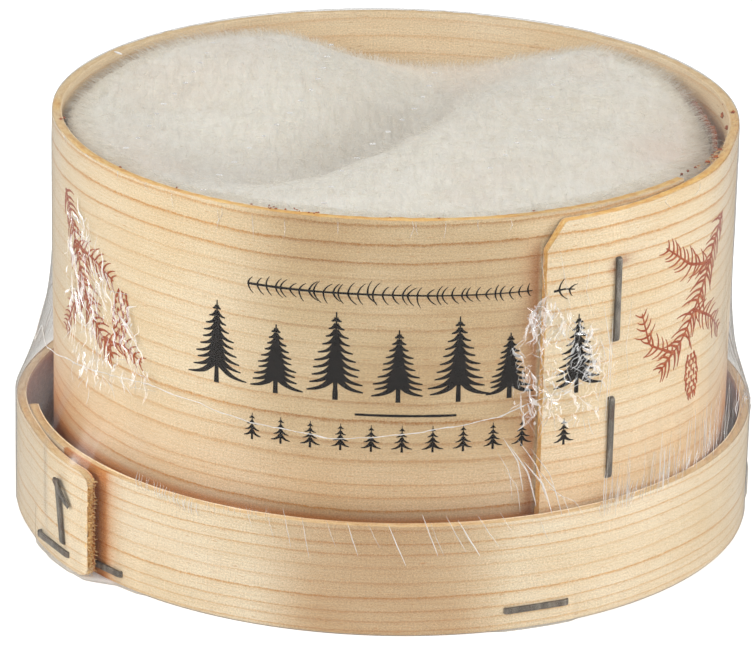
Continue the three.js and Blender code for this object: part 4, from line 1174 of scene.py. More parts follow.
def film():
    n = 900
    ang = np.arange(n) * 360.0 / n
    zs = np.concatenate([[0.30, 0.7, 1.4], np.linspace(2.2, 18.6, 22), np.linspace(19.0, 45.0, 52), np.linspace(46, 69.0, 26), [69.6, 69.9]])
    rings, haze, gl = [], [], []
    foot = film_foot_r(ang)
    for f in (0.25, 0.5, 0.72, 0.86, 0.94, 0.975):
        x = at(foot * f, ang, 0.0)
        x[:, 2] = 0.02 + 0.08 * np.clip(fbm(x[:, 0] * 0.12, x[:, 1] * 0.12, 0, 91, 3), 0, 1)
        rings.append(x)
        haze.append(np.full(n, 0.01))
        gl.append(np.full(n, 0.8))
    rings.append(at(foot - 0.32, ang, 0.04))
    haze.append(np.full(n, 0.03))
    gl.append(np.full(n, 1.0))
    for z in zs:
        r = film_radius(ang, np.full(n, z))
        if z < 0.6:
            r = r - 0.1
        if z > 69.5:
            r = r - 0.12 * (z - 69.3)
        span = float(smooth(19.8, 24, z) * smooth(52, 38, z))
        calm = 0.35 + 0.65 * np.maximum(near(ang, 60, 35, 55), near(ang, 180, 60, 90))
        rip = span * calm * (0.16 * vnoise(ang * 0.16 + z * 0.05, z * 0.06, 0, 92) + 0.10 * vnoise(ang * 0.6 - z * 0.08, z * 0.1, 0, 93))
        tight = (1 - span) * 0.025 * vnoise(ang * 0.4, z * 0.12, 0, 94)
        pleat = float(smooth(34, 21, z) * smooth(17.5, 19.5, z)) * 0.14 * np.clip(vnoise(ang * 1.5 + 0.15 * z, z * 0.05, 0, 95), 0, 1) * (0.1 + 0.9 * near(ang, 62, 22, 38))
        rings.append(at(r + rip + tight + pleat, ang, z))
        frost = 0.05 * np.clip(0.5 + fbm(ang * 0.08, z * 0.12, 0, 97, 3), 0, 1.2) * float(smooth(38, 22, z) * smooth(17.5, 20.5, z)) * (0.3 + 0.7 * smooth(20, 45, np.abs(wrap(ang))))
        frost = frost + 0.35 * np.exp(-((wrap(ang + 52.3)) / 0.9) ** 2) * math.exp(-((z - 20.3) / 0.7) ** 2)
        haze.append(frost)
        gl.append(np.full(n, 0.36 if z < 66 else 0.3))
    top_r = film_box_r(ang)
    for f in (0.9935, 0.975, 0.94, 0.88, 0.8, 0.7, 0.58, 0.45, 0.3, 0.15):
        x = at(top_r * f, ang, FILM_TOP)
        rel = smooth(1.0, 0.9, f)
        x[:, 2] = FILM_TOP - 0.05 + rel * 0.04 * fbm(x[:, 0] * 0.08, x[:, 1] * 0.08, 0, 96, 3)
        rings.append(x)
        haze.append(np.full(n, 0.0))
        gl.append(np.full(n, 0.55 if f < 0.99 else 0.8))
    m = len(rings)
    v = np.concatenate(rings + [[[0, 0, 0.03]], [[0, 0, FILM_TOP - 0.05]]])
    k = np.arange(n)
    k2 = (k + 1) % n
    q = np.concatenate([np.stack([a_ * n + k, a_ * n + k2, (a_ + 1) * n + k2, (a_ + 1) * n + k], -1) for a_ in range(m - 1)])
    t = np.concatenate([np.stack([np.full(n, m * n), k2, k], -1), np.stack([np.full(n, m * n + 1), (m - 1) * n + k, (m - 1) * n + k2], -1)])
    o = make_mesh("shrink_wrap", v, [q, t], [M_FILM], dict(haze=np.concatenate(haze + [[0.01], [0.0]]), gl=np.concatenate(gl + [[0.8], [0.75]])))
    return place(o, "clear_film", "clear_film")


film()


def weld():
    """The weld: a fine beaded line across the front, round the left side and the back; the right side is the fold of the film."""
    pa = np.array([-222, -195, -180, -150, -120, -95, -82])
    pz = np.array([41, 41, 41, 39, 36, 33.5, 32.5])
    fa, fz = seen(np.array([35, 47, 60, 85, 110, 149, 200, 249, 286, 330, 376, 436, 470, 500, 522, 545, 570, 600]),
                  np.array([340, 347, 355, 366, 375, 384, 403, 422, 429, 438, 437.5, 430, 423, 417, 406, 398, 388, 372]))
    pa, pz = np.concatenate([pa, fa]), np.concatenate([pz, fz])
    o = np.argsort(pa)
    pa, pz = pa[o], pz[o]
    n = 2600
    a = np.linspace(pa[0], pa[-1], n)
    z = np.interp(a, pa, pz)
    for _ in range(30):
        z[1:-1] = (z[:-2] + z[1:-1] * 2 + z[2:]) / 4
    z = z + 0.12 * vnoise(a * 0.25, 0, 0, 101) + 0.05 * vnoise(a * 1.1, 0, 0, 104)
    p = film_point(a, z, 0.10)
    r = 0.05 + 0.05 * np.abs(vnoise(a * 2.6, 0, 0, 102)) + 0.11 * np.clip(vnoise(a * 0.9, 1.0, 0, 103) - 0.35, 0, 1)
    r = r * (1 - 0.4 * smooth(20, 32, a))
    v, q, t = tube(p, r, 6)
    s = Soup()
    s.add(v, q, t, haze=0.25, gl=1.0)
    return place(s.build("wrap_weld", [M_BEAD]), "clear_film")


weld()


def folds(name, spots, seed):
    """Crumpled film: curled slivers standing a little off the wall. spots holds (degrees, z, direction in degrees, length, width)."""
    rng = np.random.default_rng(seed)
    soup = Soup()
    nl, nw = 13, 6
    for (a0, z0, th, ln, wd) in spots:
        th = math.radians(th)
        t = np.linspace(-0.5, 0.5, nl)
        bow = ln * rng.normal() * 0.16
        wig = 0.05 * ln * rng.normal()
        x = t * ln * math.cos(th) - (bow * (0.25 - t * t) + wig * np.sin(t * 9)) * math.sin(th)
        y = t * ln * math.sin(th) + (bow * (0.25 - t * t) + wig * np.sin(t * 9)) * math.cos(th)
        a, z = a0 + x / 1.03, z0 + y
        path = film_point(a, z, 0.14 + 0.38 * rng.random() + 0.10 * rng.random() * np.cos(t * 3))
        tang = np.gradient(path, axis=0)
        tang /= np.linalg.norm(tang, axis=1, keepdims=True)
        nor = at(1.0, a, 0 * z)
        side = np.cross(tang, nor)
        side /= np.linalg.norm(side, axis=1, keepdims=True)
        nor = np.cross(side, tang)
        alpha = math.radians(rng.uniform(15, 65))
        phi = math.radians(rng.normal() * 24)
        c = np.linspace(-1, 1, nw)
        w = wd * np.sin(np.pi * np.clip(t + 0.5, 0.015, 0.985)) ** 0.75
        R = w / (2 * math.sin(alpha))
        sx = R[:, None] * np.sin(c * alpha)[None]
        up = rng.choice([-0.6, 1.0]) * R[:, None] * (np.cos(c * alpha) - math.cos(alpha))[None]
        sx, up = sx * math.cos(phi) - up * math.sin(phi), sx * math.sin(phi) + up * math.cos(phi)
        up = np.clip(up, -0.10, 1.0)
        v = path[:, None] + sx[..., None] * side[:, None] + up[..., None] * nor[:, None]
        I = np.arange(nl * nw).reshape(nl, nw)
        q = np.stack([I[:-1, :-1], I[1:, :-1], I[1:, 1:], I[:-1, 1:]], -1).reshape(-1, 4)
        soup.add(v.reshape(-1, 3), q, haze=0.7 * rng.random() ** 4.0, gl=0.5 + 0.6 * rng.random())
    return place(soup.build(name, [M_EAR]), "clear_film")


def spots_in(n, v_rng, left, right, dirs, probs, rng, long=4.6, dense=None):
    """Slivers spread over a patch seen from the front; left and right are its borders, (v, u) tables."""
    out = []
    while len(out) < n:
        v = rng.uniform(*v_rng)
        a_, b_ = np.interp(v, *left), np.interp(v, *right)
        u = a_ + (b_ - a_) * rng.random()
        if dense is not None and rng.random() > dense(u, v):
            continue
        deg, z = seen(np.array([u]), np.array([v]), 0.3)
        if not np.isfinite(deg[0]):
            continue
        ln = 0.8 + long * rng.random() ** 1.7
        out.append((float(deg[0]), float(z[0]), rng.choice(dirs, p=probs) + 13 * rng.normal(), ln, 0.09 + 0.75 * rng.random() ** 2.2 * min(1, ln / 2.0)))
    return out


_r = np.random.default_rng(21)
folds("wrap_fold_left", spots_in(270, (210, 388), ([205, 250, 300, 340, 392], [70, 67, 66, 70, 88]), ([205, 250, 300, 340, 392], [84, 98, 122, 140, 154]),
                                 [-72, -95, -45, 60], [.45, .25, .2, .1], _r, 5.4, lambda u, v: 0.35 + 0.65 * smooth(230, 300, v)), 5)
folds("wrap_fold_right", spots_in(300, (302, 424), ([300, 330, 365, 395, 426], [536, 526, 514, 508, 520]), ([300, 330, 365, 395, 426], [552, 590, 618, 620, 584]),
                                  [-80, -55, -120, 20, 60], [.3, .2, .25, .1, .15], _r, 3.6,
                                  lambda u, v: 0.25 + 0.75 * max(math.exp(-(((u - 535) / 22) ** 2 + ((v - 392) / 22) ** 2)), math.exp(-(((u - 590) / 20) ** 2 + ((v - 355) / 30) ** 2)), math.exp(-(((u - 540) / 14) ** 2 + ((v - 330) / 18) ** 2)))), 7)
# the two corners at the back
for nm, a_c, sd in (("wrap_fold_back_left", -140, 15), ("wrap_fold_back_right", 138, 16)):
    _b = np.random.default_rng(sd)
    _s = []
    for _k in range(220):
        _t = _b.random()
        _s.append((a_c + _b.uniform(-1, 1) * (2.2 + 5.0 * _t), 54 - 19 * _t, _b.choice([-80, -50, -120, 10]) + 14 * _b.normal(), 0.8 + 4.4 * _b.random() ** 1.7, 0.07 + 0.5 * _b.random() ** 2.2))
    folds(nm, _s, sd)


def creases():
    """Fine drawn lines and pleats of the film."""
    rng = np.random.default_rng(12)
    soup = Soup()

    def line(pts, w, haze, bend=0.0, lift=0.05, gl=0.3):
        pts = np.asarray(pts, float)
        t = np.linspace(0, 1, 22)
        k = np.linspace(0, 1, len(pts))
        u = np.interp(t, k, pts[:, 0]) + bend * np.sin(np.pi * t)
        v = np.interp(t, k, pts[:, 1])
        a, z = seen(u, v)
        ok = np.isfinite(a)
        if ok.sum() < 22:
            return
        z = np.clip(z, 0.3, 69.9)
        p = film_point(a, z, lift)
        r = w * (0.15 + 0.85 * np.sin(np.pi * np.clip(t, 0.02, 0.98)) ** 0.7)
        vv, q, tt = tube(p, r, 5)
        soup.add(vv, q, tt, haze=haze, gl=gl)

    # a few sharp fold lines in the two crumpled corners seen from the front
    for k in range(60):
        v = 212 + 175 * rng.random() ** 0.8
        lo_u, hi_u = np.interp(v, [212, 250, 300, 340, 392], [73, 70, 69, 72, 92]), np.interp(v, [212, 250, 300, 340, 392], [86, 97, 118, 137, 152])
        u = lo_u + (hi_u - lo_u) * rng.random()
        th = math.radians(rng.choice([68, 100, 130, 20], p=[.4, .25, .25, .1]) + 12 * rng.normal())
        ln = 6 + 24 * rng.random() ** 1.5
        line([(u, v), (u + ln * 0.5 * math.cos(th) + rng.normal(), v + ln * 0.5 * math.sin(th)), (u + ln * math.cos(th), v + ln * math.sin(th))],
             0.022 + 0.03 * rng.random(), 0.2 + 0.5 * rng.random(), bend=rng.normal() * 1.4, lift=0.20 + 0.35 * rng.random(), gl=1.0)
    for k in range(60):
        v = 306 + 112 * rng.random()
        lo_u, hi_u = np.interp(v, [304, 330, 365, 395, 425], [538, 526, 516, 512, 512]), np.interp(v, [304, 330, 365, 395, 425], [556, 596, 616, 618, 588])
        u = lo_u + (hi_u - lo_u) * rng.random()
        th = math.radians(rng.choice([75, 120, 35, 160], p=[.35, .3, .25, .1]) + 12 * rng.normal())
        ln = 6 + 22 * rng.random() ** 1.5
        line([(u, v), (u + ln * 0.5 * math.cos(th) + rng.normal(), v + ln * 0.5 * math.sin(th)), (u + ln * math.cos(th), v + ln * math.sin(th))],
             0.022 + 0.03 * rng.random(), 0.2 + 0.5 * rng.random(), bend=rng.normal() * 1.4, lift=0.20 + 0.35 * rng.random(), gl=1.0)
    # hair-like pleats over the lid's rim, front left
    for k in range(19):
        x = 137 + k * 3.3 + rng.normal() * 0.6
        y = 472 + (x - 138) * 0.50
        line([(x, y), (x - 1.5 + rng.normal(), y + 8), (x + rng.normal(), y + 13 + 4 * rng.random())], 0.05 + 0.03 * rng.random(), 0.30)
    for k in range(12):
        x = 204 + k * 6.0 + rng.normal() * 1.5
        y = 501 + (x - 200) * 0.14
        line([(x, y), (x + rng.normal(), y + 7 + 3 * rng.random())], 0.05, 0.16)
    # the dense drawn pleats, front right
    rim_x = np.array([590, 620, 650, 680, 705, 725, 740, 748])
    rim_y = np.array([518, 508, 494, 476, 456, 436, 412, 396])
    for k in range(150):
        x = 596 + 150 * rng.random() ** 0.85
        y = np.interp(x, rim_x, rim_y) + rng.normal() * 3
        ln = 14 + 46 * rng.random() ** 1.6
        lean = 1 + 4 * rng.random()
        line([(x, y), (x + lean * 0.4, y - ln * 0.5), (x + lean, y - ln)], 0.035 + 0.05 * rng.random() ** 2, 0.12 + 0.45 * rng.random() ** 2, bend=rng.normal() * 0.8)
    # bright pleats at the foot of the overlap
    for (a, b, c, d, w, h) in [(503, 438, 523, 492, .12, .5), (510, 446, 536, 506, .15, .5), (518, 440, 546, 500, .10, .4), (524, 462, 552, 514, .16, .55),
                               (530, 448, 560, 508, .08, .35), (538, 470, 562, 516, .10, .4), (497, 452, 512, 500, .07, .3), (547, 486, 570, 516, .07, .3),
                               (505, 470, 520, 512, .07, .3), (556, 494, 584, 516, .06, .25)]:
        line([(a, b), ((a + c) / 2 + 3, (b + d) / 2 - 4), (c, d)], w, h, bend=1.5)
    # slanting lines over the lid's rim
    for (a, b, c, d, w, h) in [(246, 506, 252, 528, .05, .3), (266, 508, 274, 540, .05, .3), (283, 508, 291, 548, .07, .35), (302, 518, 309, 558, .07, .35), (326, 520, 336, 548, .05, .3),
                               (347, 522, 358, 556, .08, .45), (368, 524, 380, 548, .05, .3), (388, 524, 406, 566, .09, .5), (422, 514, 438, 556, .09, .6), (446, 516, 466, 552, .07, .4),
                               (458, 520, 480, 556, .12, .5), (478, 516, 500, 548, .06, .4), (500, 512, 512, 532, .05, .3), (430, 522, 444, 556, .05, .3), (540, 520, 548, 540, .05, .3)]:
        line([(a, b), ((a + c) / 2 - 1, (b + d) / 2 + 1), (c, d)], w, h, bend=1)
    # folds beside the right crumple
    for pts, w, h in [([(604, 306), (610, 345), (608, 380), (605, 420)], .09, .35), ([(613, 316), (611, 360), (609, 402)], .07, .3), ([(560, 250), (566, 285), (572, 318)], .06, .2),
                      ([(590, 262), (586, 290), (594, 318)], .06, .2), ([(541, 255), (546, 300)], .05, .2), ([(632, 300), (626, 345), (628, 380)], .06, .2)]:
        line(pts, w, h)
    # short folds under the top edge
    for (x, y, l) in [(217, 207, 26), (222, 206, 18), (252, 213, 26), (284, 218, 20), (338, 221, 13), (412, 219, 19), (416, 220, 15), (446, 220, 20), (478, 219, 12), (510, 217, 15),
                      (148, 180, 12), (172, 192, 16), (118, 166, 12), (88, 146, 12), (66, 130, 14), (668, 196, 12), (700, 182, 14)]:
        line([(x, y), (x + 1.5 * rng.normal(), y + l * 0.5), (x + 2.5 * rng.normal(), y + l)], 0.055, 0.22)
    # the same kinds of pleat round the back
    for k in range(90):
        a = 95 + 165 * rng.random()
        z0 = 19.5 + 2 * rng.random()
        ln = 3 + 12 * rng.random() ** 1.5
        t = np.linspace(0, 1, 16)
        p = film_point(a + 1.4 * rng.normal() * t, z0 + ln * t, 0.05)
        r = (0.05 + 0.04 * rng.random()) * (0.15 + 0.85 * np.sin(np.pi * np.clip(t, 0.02, 0.98)) ** 0.7)
        vv, q, tt = tube(p, r, 5)
        soup.add(vv, q, tt, haze=0.2, gl=0.3)
    return place(soup.build("wrap_creases", [M_CREASE]), "clear_film")


creases()


PINS = [(-32.1, 34.3), (-32.9, 28.2), (-33.7, 22.3), (-34.7, 17.0), (-35.8, 10.6), (-37.4, 4.3), (-39.0, -1.4), (-39.9, -6.9), (-40.8, -13.5), (-42.3, -20.0), (-44.0, -25.4),
        (-11.3, 34.6), (-11.9, 27.5), (-12.3, 21.0), (-13.2, 14.6), (-14.3, 8.3), (-15.9, 2.0), (-17.6, -4.8), (-19.6, -11.4), (-21.6, -17.5), (-23.8, -23.9), (-26.0, -31.4),
        (-28.2, -38.1), (-30.5, -45.8), (6.9, 19.5), (5.9, 12.0), (4.8, 5.7), (3.3, -1.0), (1.3, -7.2), (-1.0, -13.8), (-3.5, -20.4), (-6.0, -27.9), (-8.4, -34.7), (-10.0, -42.9),
        (-11.0, -50.9), (27.6, 29.3), (27.2, 14.2), (26.8, 7.3), (26.0, 0.6), (24.5, -5.5), (22.7, -11.6), (20.4, -18.2), (18.3, -24.6), (15.7, -31.5)]


def pinholes():
    rng = np.random.default_rng(3)
    s = Soup()
    for (x, y) in PINS:
        n = 20
        b = np.linspace(0, 2 * np.pi, n, endpoint=False)
        rx, ry = 0.30 + 0.12 * rng.random(), 0.20 + 0.10 * rng.random()
        w = 0.07 + 0.05 * rng.random()
        k = 6
        c = np.linspace(0, 2 * np.pi, k, endpoint=False)
        R1 = 1 + w / 0.3 * np.cos(c)[None]
        X_ = x + rx * np.cos(b)[:, None] * R1
        Y_ = y + ry * np.sin(b)[:, None] * R1
        Z_ = np.broadcast_to(FILM_TOP - 0.05 + 0.07 * np.sin(c)[None], X_.shape)
        v = np.stack([X_, Y_, Z_], -1).reshape(-1, 3)
        i = np.arange(n)[:, None] * k
        i2 = ((np.arange(n) + 1) % n)[:, None] * k
        j, j2 = np.arange(k)[None], ((np.arange(k) + 1) % k)[None]
        q = np.stack([i + j, i2 + j, i2 + j2, i + j2], -1).reshape(-1, 4)
        s.add(v, q, haze=0.32 + 0.3 * rng.random(), gl=1.0)
    # one longer scuff over the left rim
    p = np.stack([np.linspace(-49.1, -47.6, 14), np.linspace(27.6, 26.0, 14), np.full(14, FILM_TOP)], -1)
    v, q, t = tube(p, 0.16 * np.sin(np.linspace(0.15, np.pi - 0.15, 14)) + 0.03, 6)
    s.add(v, q, t, haze=0.9, gl=1.0)
    return place(s.build("wrap_pinholes", [M_CREASE]), "clear_film")


pinholes()


# ------------------------------------------------------------------ crumbs of bark and torn fibres along the rim
def crumbs():
    rng = np.random.default_rng(44)
    s = Soup()
    f = Soup()

    def blob(c, size, soup):
        n, m = 9, 6
        th = np.linspace(0, 2 * np.pi, n, endpoint=False)
        ph = np.linspace(0.25, np.pi - 0.25, m)
        d = np.stack([np.sin(ph)[:, None] * np.cos(th)[None], np.sin(ph)[:, None] * np.sin(th)[None], np.broadcast_to(np.cos(ph)[:, None], (m, n))], -1)
        rr = 1 + 0.35 * rng.normal(size=(m, n, 1))
        rr = np.clip(rr, 0.45, 1.6)
        v = (d * rr).reshape(-1, 3) * np.asarray(size) * 0.5
        ang = rng.random() * 6.28
        ca, sa = math.cos(ang), math.sin(ang)
        v = np.stack([v[:, 0] * ca - v[:, 1] * sa, v[:, 0] * sa + v[:, 1] * ca, v[:, 2]], -1) + np.asarray(c)
        v = np.concatenate([v, [np.asarray(c) + [0, 0, size[2] * 0.5], np.asarray(c) - [0, 0, size[2] * 0.5]]])
        q, t = [], []
        for a_ in range(m - 1):
            for b_ in range(n):
                b2 = (b_ + 1) % n
                q.append((a_ * n + b_, (a_ + 1) * n + b_, (a_ + 1) * n + b2, a_ * n + b2))
        for b_ in range(n):
            b2 = (b_ + 1) % n
            t.append((m * n, b_, b2))
            t.append((m * n + 1, (m - 1) * n + b2, (m - 1) * n + b_))
        soup.add(v, q, t)

    # angle, radius, z, size
    big = [(91.5, 57.2, 70.0, (0.9, 0.6, 0.4)), (63.5, 57.3, 69.95, (0.8, 0.45, 0.4)), (66.5, 57.5, 69.95, (1.0, 0.6, 0.45)), (55.5, 56.6, 69.9, (0.6, 0.35, 0.35)),
           (57.6, 56.6, 69.9, (0.5, 0.35, 0.35)), (60.0, 56.7, 69.9, (0.5, 0.3, 0.3)), (70.5, 57.0, 69.95, (0.8, 0.4, 0.35)), (86.0, 55.9, 68.9, (0.7, 0.4, 0.7)),
           (95.0, 55.8, 68.2, (0.6, 0.4, 0.9)), (-79.5, 57.0, 69.9, (0.7, 0.5, 0.4)), (-81, 56.3, 69.6, (0.5, 0.4, 0.4)), (-52, 56.6, 69.9, (0.5, 0.3, 0.3))]
    for a, r, z, size in big:
        blob(at(r, a, z, BOX_X), size, s)
    for k in range(24):
        a = rng.choice([rng.uniform(-24, -9), rng.uniform(-60, 0), rng.uniform(0, 60), rng.uniform(55, 100)], p=[.35, .15, .25, .25])
        blob(at(56.5 + 0.5 * rng.normal() * 0.6, a, 69.85 + 0.1 * rng.random(), BOX_X), (0.25 + 0.3 * rng.random(), 0.14 + 0.14 * rng.random(), 0.14 + 0.1 * rng.random()), s)
    place(s.build("bark_crumbs", [M_BARK]), "spruce_bark")
    # pale torn fibres along the right-hand rim, at the overlap's end and at the lid's loose end
    for k in range(170):
        a = rng.uniform(60, 98)
        r = 56.5 + 1.3 * rng.random()
        p0 = at(r, a, 69.75, BOX_X)
        d = at(1, a, 0) * rng.normal() * 0.35 + np.array([0.0, 0, 0.28 * rng.random() + 0.05]) + np.append(at(1, a + 90, 0)[:2], 0) * rng.normal() * 0.7
        t = np.linspace(0, 1, 4)[:, None]
        pts_ = p0 + d * t
        pts_[:, 2] = np.minimum(pts_[:, 2], 70.15)
        v, q, tt = tube(pts_, 0.075 * (1 - 0.8 * t[:, 0]), 5)
        f.add(v, q, tt, s=rng.random() * 60, h=rng.random() * 4, t=0.5, ph=0.4, rs=0, edge=0.9, ochre=0.25 + 0.3 * rng.random(), stain=0, warm=0, tone=0)
    for k in range(260):
        lid = k % 3 > 0
        if lid:
            z = rng.uniform(0.9, 18.3)
            a, r = -49.15, 63.45 + 1.6 * rng.random()
            p0 = at(r, a, z)
            d = at(1, a + 90, 0) * rng.uniform(0.1, 0.75) + np.array([0, 0, rng.normal() * 0.25]) + at(1, a, 0) * rng.normal() * 0.2
        else:
            z = rng.uniform(20.5, 64)
            a, r = 24.15, 59.15 + rng.uniform(-0.7, 0.7)
            p0 = at(r, a, z, BOX_X)
            d = -at(1, a + 90, 0) * rng.uniform(0.05, 0.4) + np.array([0, 0, rng.normal() * 0.2])
        t = np.linspace(0, 1, 4)[:, None]
        v, q, tt = tube(p0 + d * t, (0.10 if lid else 0.05) * (1 - 0.75 * t[:, 0]), 5)
        f.add(v, q, tt, s=rng.random() * 60, h=rng.random() * 4, t=0.5, ph=0.4, rs=0, edge=0.9, ochre=0.6 + 0.4 * rng.random(), stain=0, warm=0, tone=0)
    place(f.build("torn_fibres", [M_BOX]), "spruce_wall")


crumbs()


# ------------------------------------------------------------------ print on the box: plain spruces, a rule and sprigs
def wall_outer(deg):
    """Outer radius of the box's wall, from its own axis."""
    w = wrap(deg)
    s_deg = np.where(w < 24.0, 54 - w, 414 - w)
    return BOX_R - WOOD + smooth(334, 357, s_deg) * (WOOD + 0.35) + WOOD, s_deg


class Ink:
    def __init__(self, seed):
        self.soup = Soup()
        self.rng = np.random.default_rng(seed)

    def stroke(self, pts, w0, w1=None, curve=0.0):
        """A flat stroke through pts [(degrees, z mm)]; half widths w0 to w1 in mm."""
        rng = self.rng
        pts = np.asarray(pts, float)
        seg = np.concatenate([[0], np.cumsum(np.hypot(*np.diff(pts, axis=0).T))])
        n = max(4, int(seg[-1] / 0.7) + 2)
        t = np.linspace(0, 1, n)
        a = np.interp(t * seg[-1], seg, pts[:, 0])
        z = np.interp(t * seg[-1], seg, pts[:, 1])
        if curve:
            dx, dz = pts[-1] - pts[0]
            L = math.hypot(dx, dz) + 1e-9
            a = a - dz / L * curve * np.sin(np.pi * t)
            z = z + dx / L * curve * np.sin(np.pi * t)
        w1 = w0 if w1 is None else w1
        w = w0 + (w1 - w0) * t
        w = w * (1 + 0.12 * vnoise(t * n * 0.6, w0 * 9 + pts[0, 0], 0, 201))
        da, dz = np.gradient(a), np.gradient(z)
        L = np.hypot(da, dz) + 1e-9
        na, nz = -dz / L, da / L
        A = np.stack([a - na * w, a + na * w], -1)
        Z = np.stack([z - nz * w, z + nz * w], -1)
        # keep a stroke on one layer of the wall
        mid = np.median(a)
        A = np.where(mid < 24.0, np.minimum(A, 23.9), np.maximum(A, 24.25))
        r, s_deg = wall_outer(A)
        smm = np.radians(s_deg) * BOX_R
        r = r + 0.07 * fbm(smm * 0.05, Z * 0.05, 0, 3, 3)
        up = 0.030 + 0.022 * rng.random()
        top = at(r + up, A, Z, BOX_X).reshape(-1, 3)
        bot = at(r - 0.06, A, Z, BOX_X).reshape(-1, 3)
        v = np.concatenate([top, bot])
        m = 2 * n
        i = np.arange(n - 1) * 2
        q = np.concatenate([np.stack([i, i + 2, i + 3, i + 1], -1), np.stack([m + i, m + i + 1, m + i + 3, m + i + 2], -1),
                            np.stack([i, m + i, m + i + 2, i + 2], -1), np.stack([i + 1, i + 3, m + i + 3, m + i + 1], -1),
                            [[0, 1, m + 1, m], [m - 2, 2 * m - 2, 2 * m - 1, m - 1]]])
        self.soup.add(v, q)

    def spruce(self, a0, z0, h, w, n=9, wt=1.0):
        rng = self.rng
        self.stroke([(a0, z0), (a0, z0 + h)], 0.42 * wt, 0.10 * wt)
        for k in range(n):
            f = (k + 0.4) / n
            z = z0 + h * (0.16 + 0.80 * f)
            ln = w / 2 * (1 - f) ** 0.85 + 0.35 * wt
            for sgn in (-1, 1):
                l2 = ln * (0.88 + 0.24 * rng.random())
                self.stroke([(a0, z + 0.30 * ln), (a0 + sgn * l2, z - 0.32 * l2)], (0.34 + 0.36 * (1 - f)) * wt, 0.10 * wt, curve=-sgn * 0.16 * l2)

    def sprig(self, pts, needle, gap, w, both=True, spread=48):
        pts = np.asarray(pts, float)
        seg = np.concatenate([[0], np.cumsum(np.hypot(*np.diff(pts, axis=0).T))])
        n = int(seg[-1] / gap)
        t = np.linspace(0, seg[-1], 60)
        path = np.stack([np.interp(t, seg, pts[:, k]) for k in (0, 1)], -1)
        for _ in range(12):
            path[1:-1] = (path[:-2] + 2 * path[1:-1] + path[2:]) / 4
        self.stroke(path, w * 1.25, w * 0.5)
        d = np.gradient(path, axis=0)
        for k in range(n):
            f = (k + 0.5) / n
            j = int(f * 59)
            th = math.atan2(d[j, 1], d[j, 0])
            for sgn in (-1, 1):
                if not both and sgn > 0:
                    continue
                b = th + sgn * math.radians(spread + 9 * self.rng.normal())
                l2 = needle * (0.55 + 0.45 * math.sin(math.pi * min(1, f * 0.8 + 0.2))) * (0.8 + 0.35 * self.rng.random())
                p = path[j]
                self.stroke([p, (p[0] + l2 * math.cos(b), p[1] + l2 * math.sin(b))], w, w * 0.25, curve=sgn * 0.10 * l2)

    def cone(self, a0, z0, ln, wd, tilt, w):
        ca, sa = math.cos(math.radians(tilt)), math.sin(math.radians(tilt))
        for r in range(8):
            f = (r + 0.5) / 8
            half = wd / 2 * math.sin(math.pi * (0.12 + 0.80 * f)) ** 0.8
            cols = 3 + (r % 2)
            for c in range(cols):
                x = ((c + 0.5) / cols * 2 - 1) * half
                y = -ln * f
                p0 = (x * 0.8, y + 0.5)
                p1 = (x * 1.12, y - 0.75)
                P = [(a0 + p[0] * ca - p[1] * sa, z0 + p[0] * sa + p[1] * ca) for p in (p0, p1)]
                self.stroke(P, w * 0.95, w * 0.35, curve=0.22 * np.sign(x))


def prints():
    ink = Ink(1)
    for a0, h, w in [(-29.0, 14.2, 9.4), (-18.6, 11.8, 8.0), (-8.8, 15.0, 9.6), (1.2, 12.4, 8.2), (10.8, 14.6, 9.2), (19.2, 11.2, 7.2), (30.0, 13.6, 8.6)]:
        ink.spruce(a0, 39.0, h, w, 10)
    # garland above
    for a_, b_ in ((-23.5, 22.6), (25.4, 29.0)):
        ink.sprig([(a_, 57.1), ((a_ + b_) / 2, 57.3), (b_, 57.0)], 2.1, 1.35, 0.16, spread=55)
    # rule and the small row below
    ink.stroke([(-5.6, 36.7), (10.6, 36.7)], 0.2)
    for k in range(10):
        a0 = -22.5 + k * 4.9
        ink.spruce(a0, 30.4, 4.6, 3.1, 4, 0.48)
    ink.spruce(28.0, 30.4, 4.6, 3.1, 4, 0.48)
    o = ink.soup.build("print_spruces", [M_INK], smooth_shade=False)
    place(o, "spruce_wall")
    red = Ink(2)
    # left sprig and cone
    red.sprig([(-70, 61), (-66.5, 56), (-63, 49), (-58, 42), (-52, 37)], 4.6, 1.15, 0.28)
    red.sprig([(-64.5, 53), (-58, 52.5), (-52, 50.5)], 3.4, 1.2, 0.24)
    red.sprig([(-60, 45), (-66, 42), (-70, 36)], 3.4, 1.2, 0.24)
    red.sprig([(-55, 39.5), (-49, 40), (-44.5, 38.5)], 2.8, 1.2, 0.22)
    red.cone(-49.5, 49.5, 9.0, 5.0, -8, 0.36)
    # right sprig and cone
    red.sprig([(66, 61), (62, 57), (58, 50), (53, 43), (47, 38.5)], 4.4, 1.15, 0.28)
    red.sprig([(60, 54), (54, 55.5), (47.5, 60)], 3.4, 1.2, 0.24)
    red.sprig([(56, 47), (62, 44), (67, 40)], 3.4, 1.2, 0.24)
    red.sprig([(50.5, 41), (44.5, 44), (42.5, 50)], 2.8, 1.2, 0.22)
    red.cone(55.5, 39.5, 8.0, 4.6, 6, 0.34)
    o = red.soup.build("print_sprigs", [M_RUSSET], smooth_shade=False)
    place(o, "spruce_wall")


prints()

# ------------------------------------------------------------------ stage, lights, camera


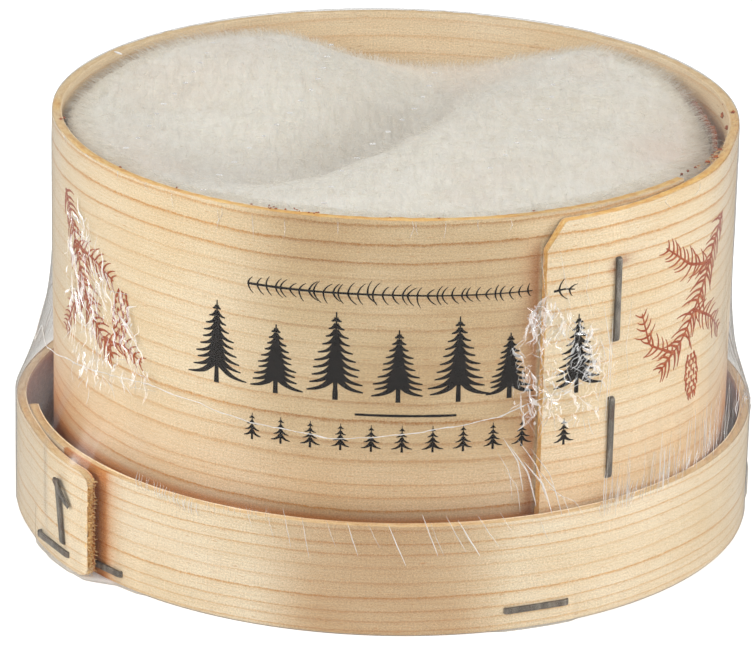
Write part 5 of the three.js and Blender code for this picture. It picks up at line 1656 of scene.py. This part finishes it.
def floor():
    g = G("floor_paper")
    a = g.noise(g.scale_vec(g.coords(), (7, 7, 7)), 1.0, 3.0, 0.5)
    col = g.mix(g.rangemap(a, 0.3, 0.7), srgb(252, 252, 252), srgb(250, 250, 250))
    p = g.principled(Base_Color=col, Emission_Color=col)
    p.inputs["Roughness"].default_value = 0.9
    p.inputs["Specular IOR Level"].default_value = 0.1
    p.inputs["Emission Strength"].default_value = 0.25
    mat = g.finish(p.outputs[0])
    s = 3000.0
    v = np.array([[-s, -s, 0], [s, -s, 0], [s, s, 0], [-s, s, 0]], float)
    o = make_mesh("floor", v, np.array([[0, 1, 2, 3]]), [mat], smooth_shade=False)


floor()

world = bpy.data.worlds.new("studio")
scene.world = world
world.use_nodes = True
bg = world.node_tree.nodes["Background"]
bg.inputs["Color"].default_value = (1.0, 1.0, 1.0, 1)
bg.inputs["Strength"].default_value = 0.50


def area(name, loc, target, sx, sy, power, color=(1, 1, 1)):
    L = bpy.data.lights.new(name, "AREA")
    L.shape = "RECTANGLE"
    L.size, L.size_y = sx, sy
    L.energy = power
    L.color = color
    o = bpy.data.objects.new(name, L)
    scene.collection.objects.link(o)
    d = Vector(target) - Vector(loc)
    o.rotation_euler = d.to_track_quat("-Z", "Y").to_euler()
    o.location = loc
    return o


area("softbox_left", (-0.80, -0.22, 0.46), (0, 0, 0.03), 0.5, 0.5, 5.9)
area("softbox_right", (0.82, -0.22, 0.36), (0, 0, 0.03), 0.45, 0.45, 5.3)
area("softbox_top", (0.06, -0.42, 0.92), (0, 0, 0.06), 0.6, 0.5, 3.0)

C = CAM * MM
cam_data = bpy.data.cameras.new("camera")
cam_data.sensor_width = 36.0
cam_data.lens = f_px / 752 * 36.0
cam_data.clip_start, cam_data.clip_end = 0.01, 20.0
cam = bpy.data.objects.new("camera", cam_data)
scene.collection.objects.link(cam)
cam.matrix_world = Matrix([[CX[0], CY[0], -FW[0], C[0]], [CX[1], CY[1], -FW[1], C[1]], [CX[2], CY[2], -FW[2], C[2]], [0, 0, 0, 1]])
scene.camera = cam

scene.view_settings.view_transform = "Standard"
scene.view_settings.look = "None"
scene.view_settings.exposure = 0.0
scene.view_settings.gamma = 1.0

bpy.context.view_layer.update()
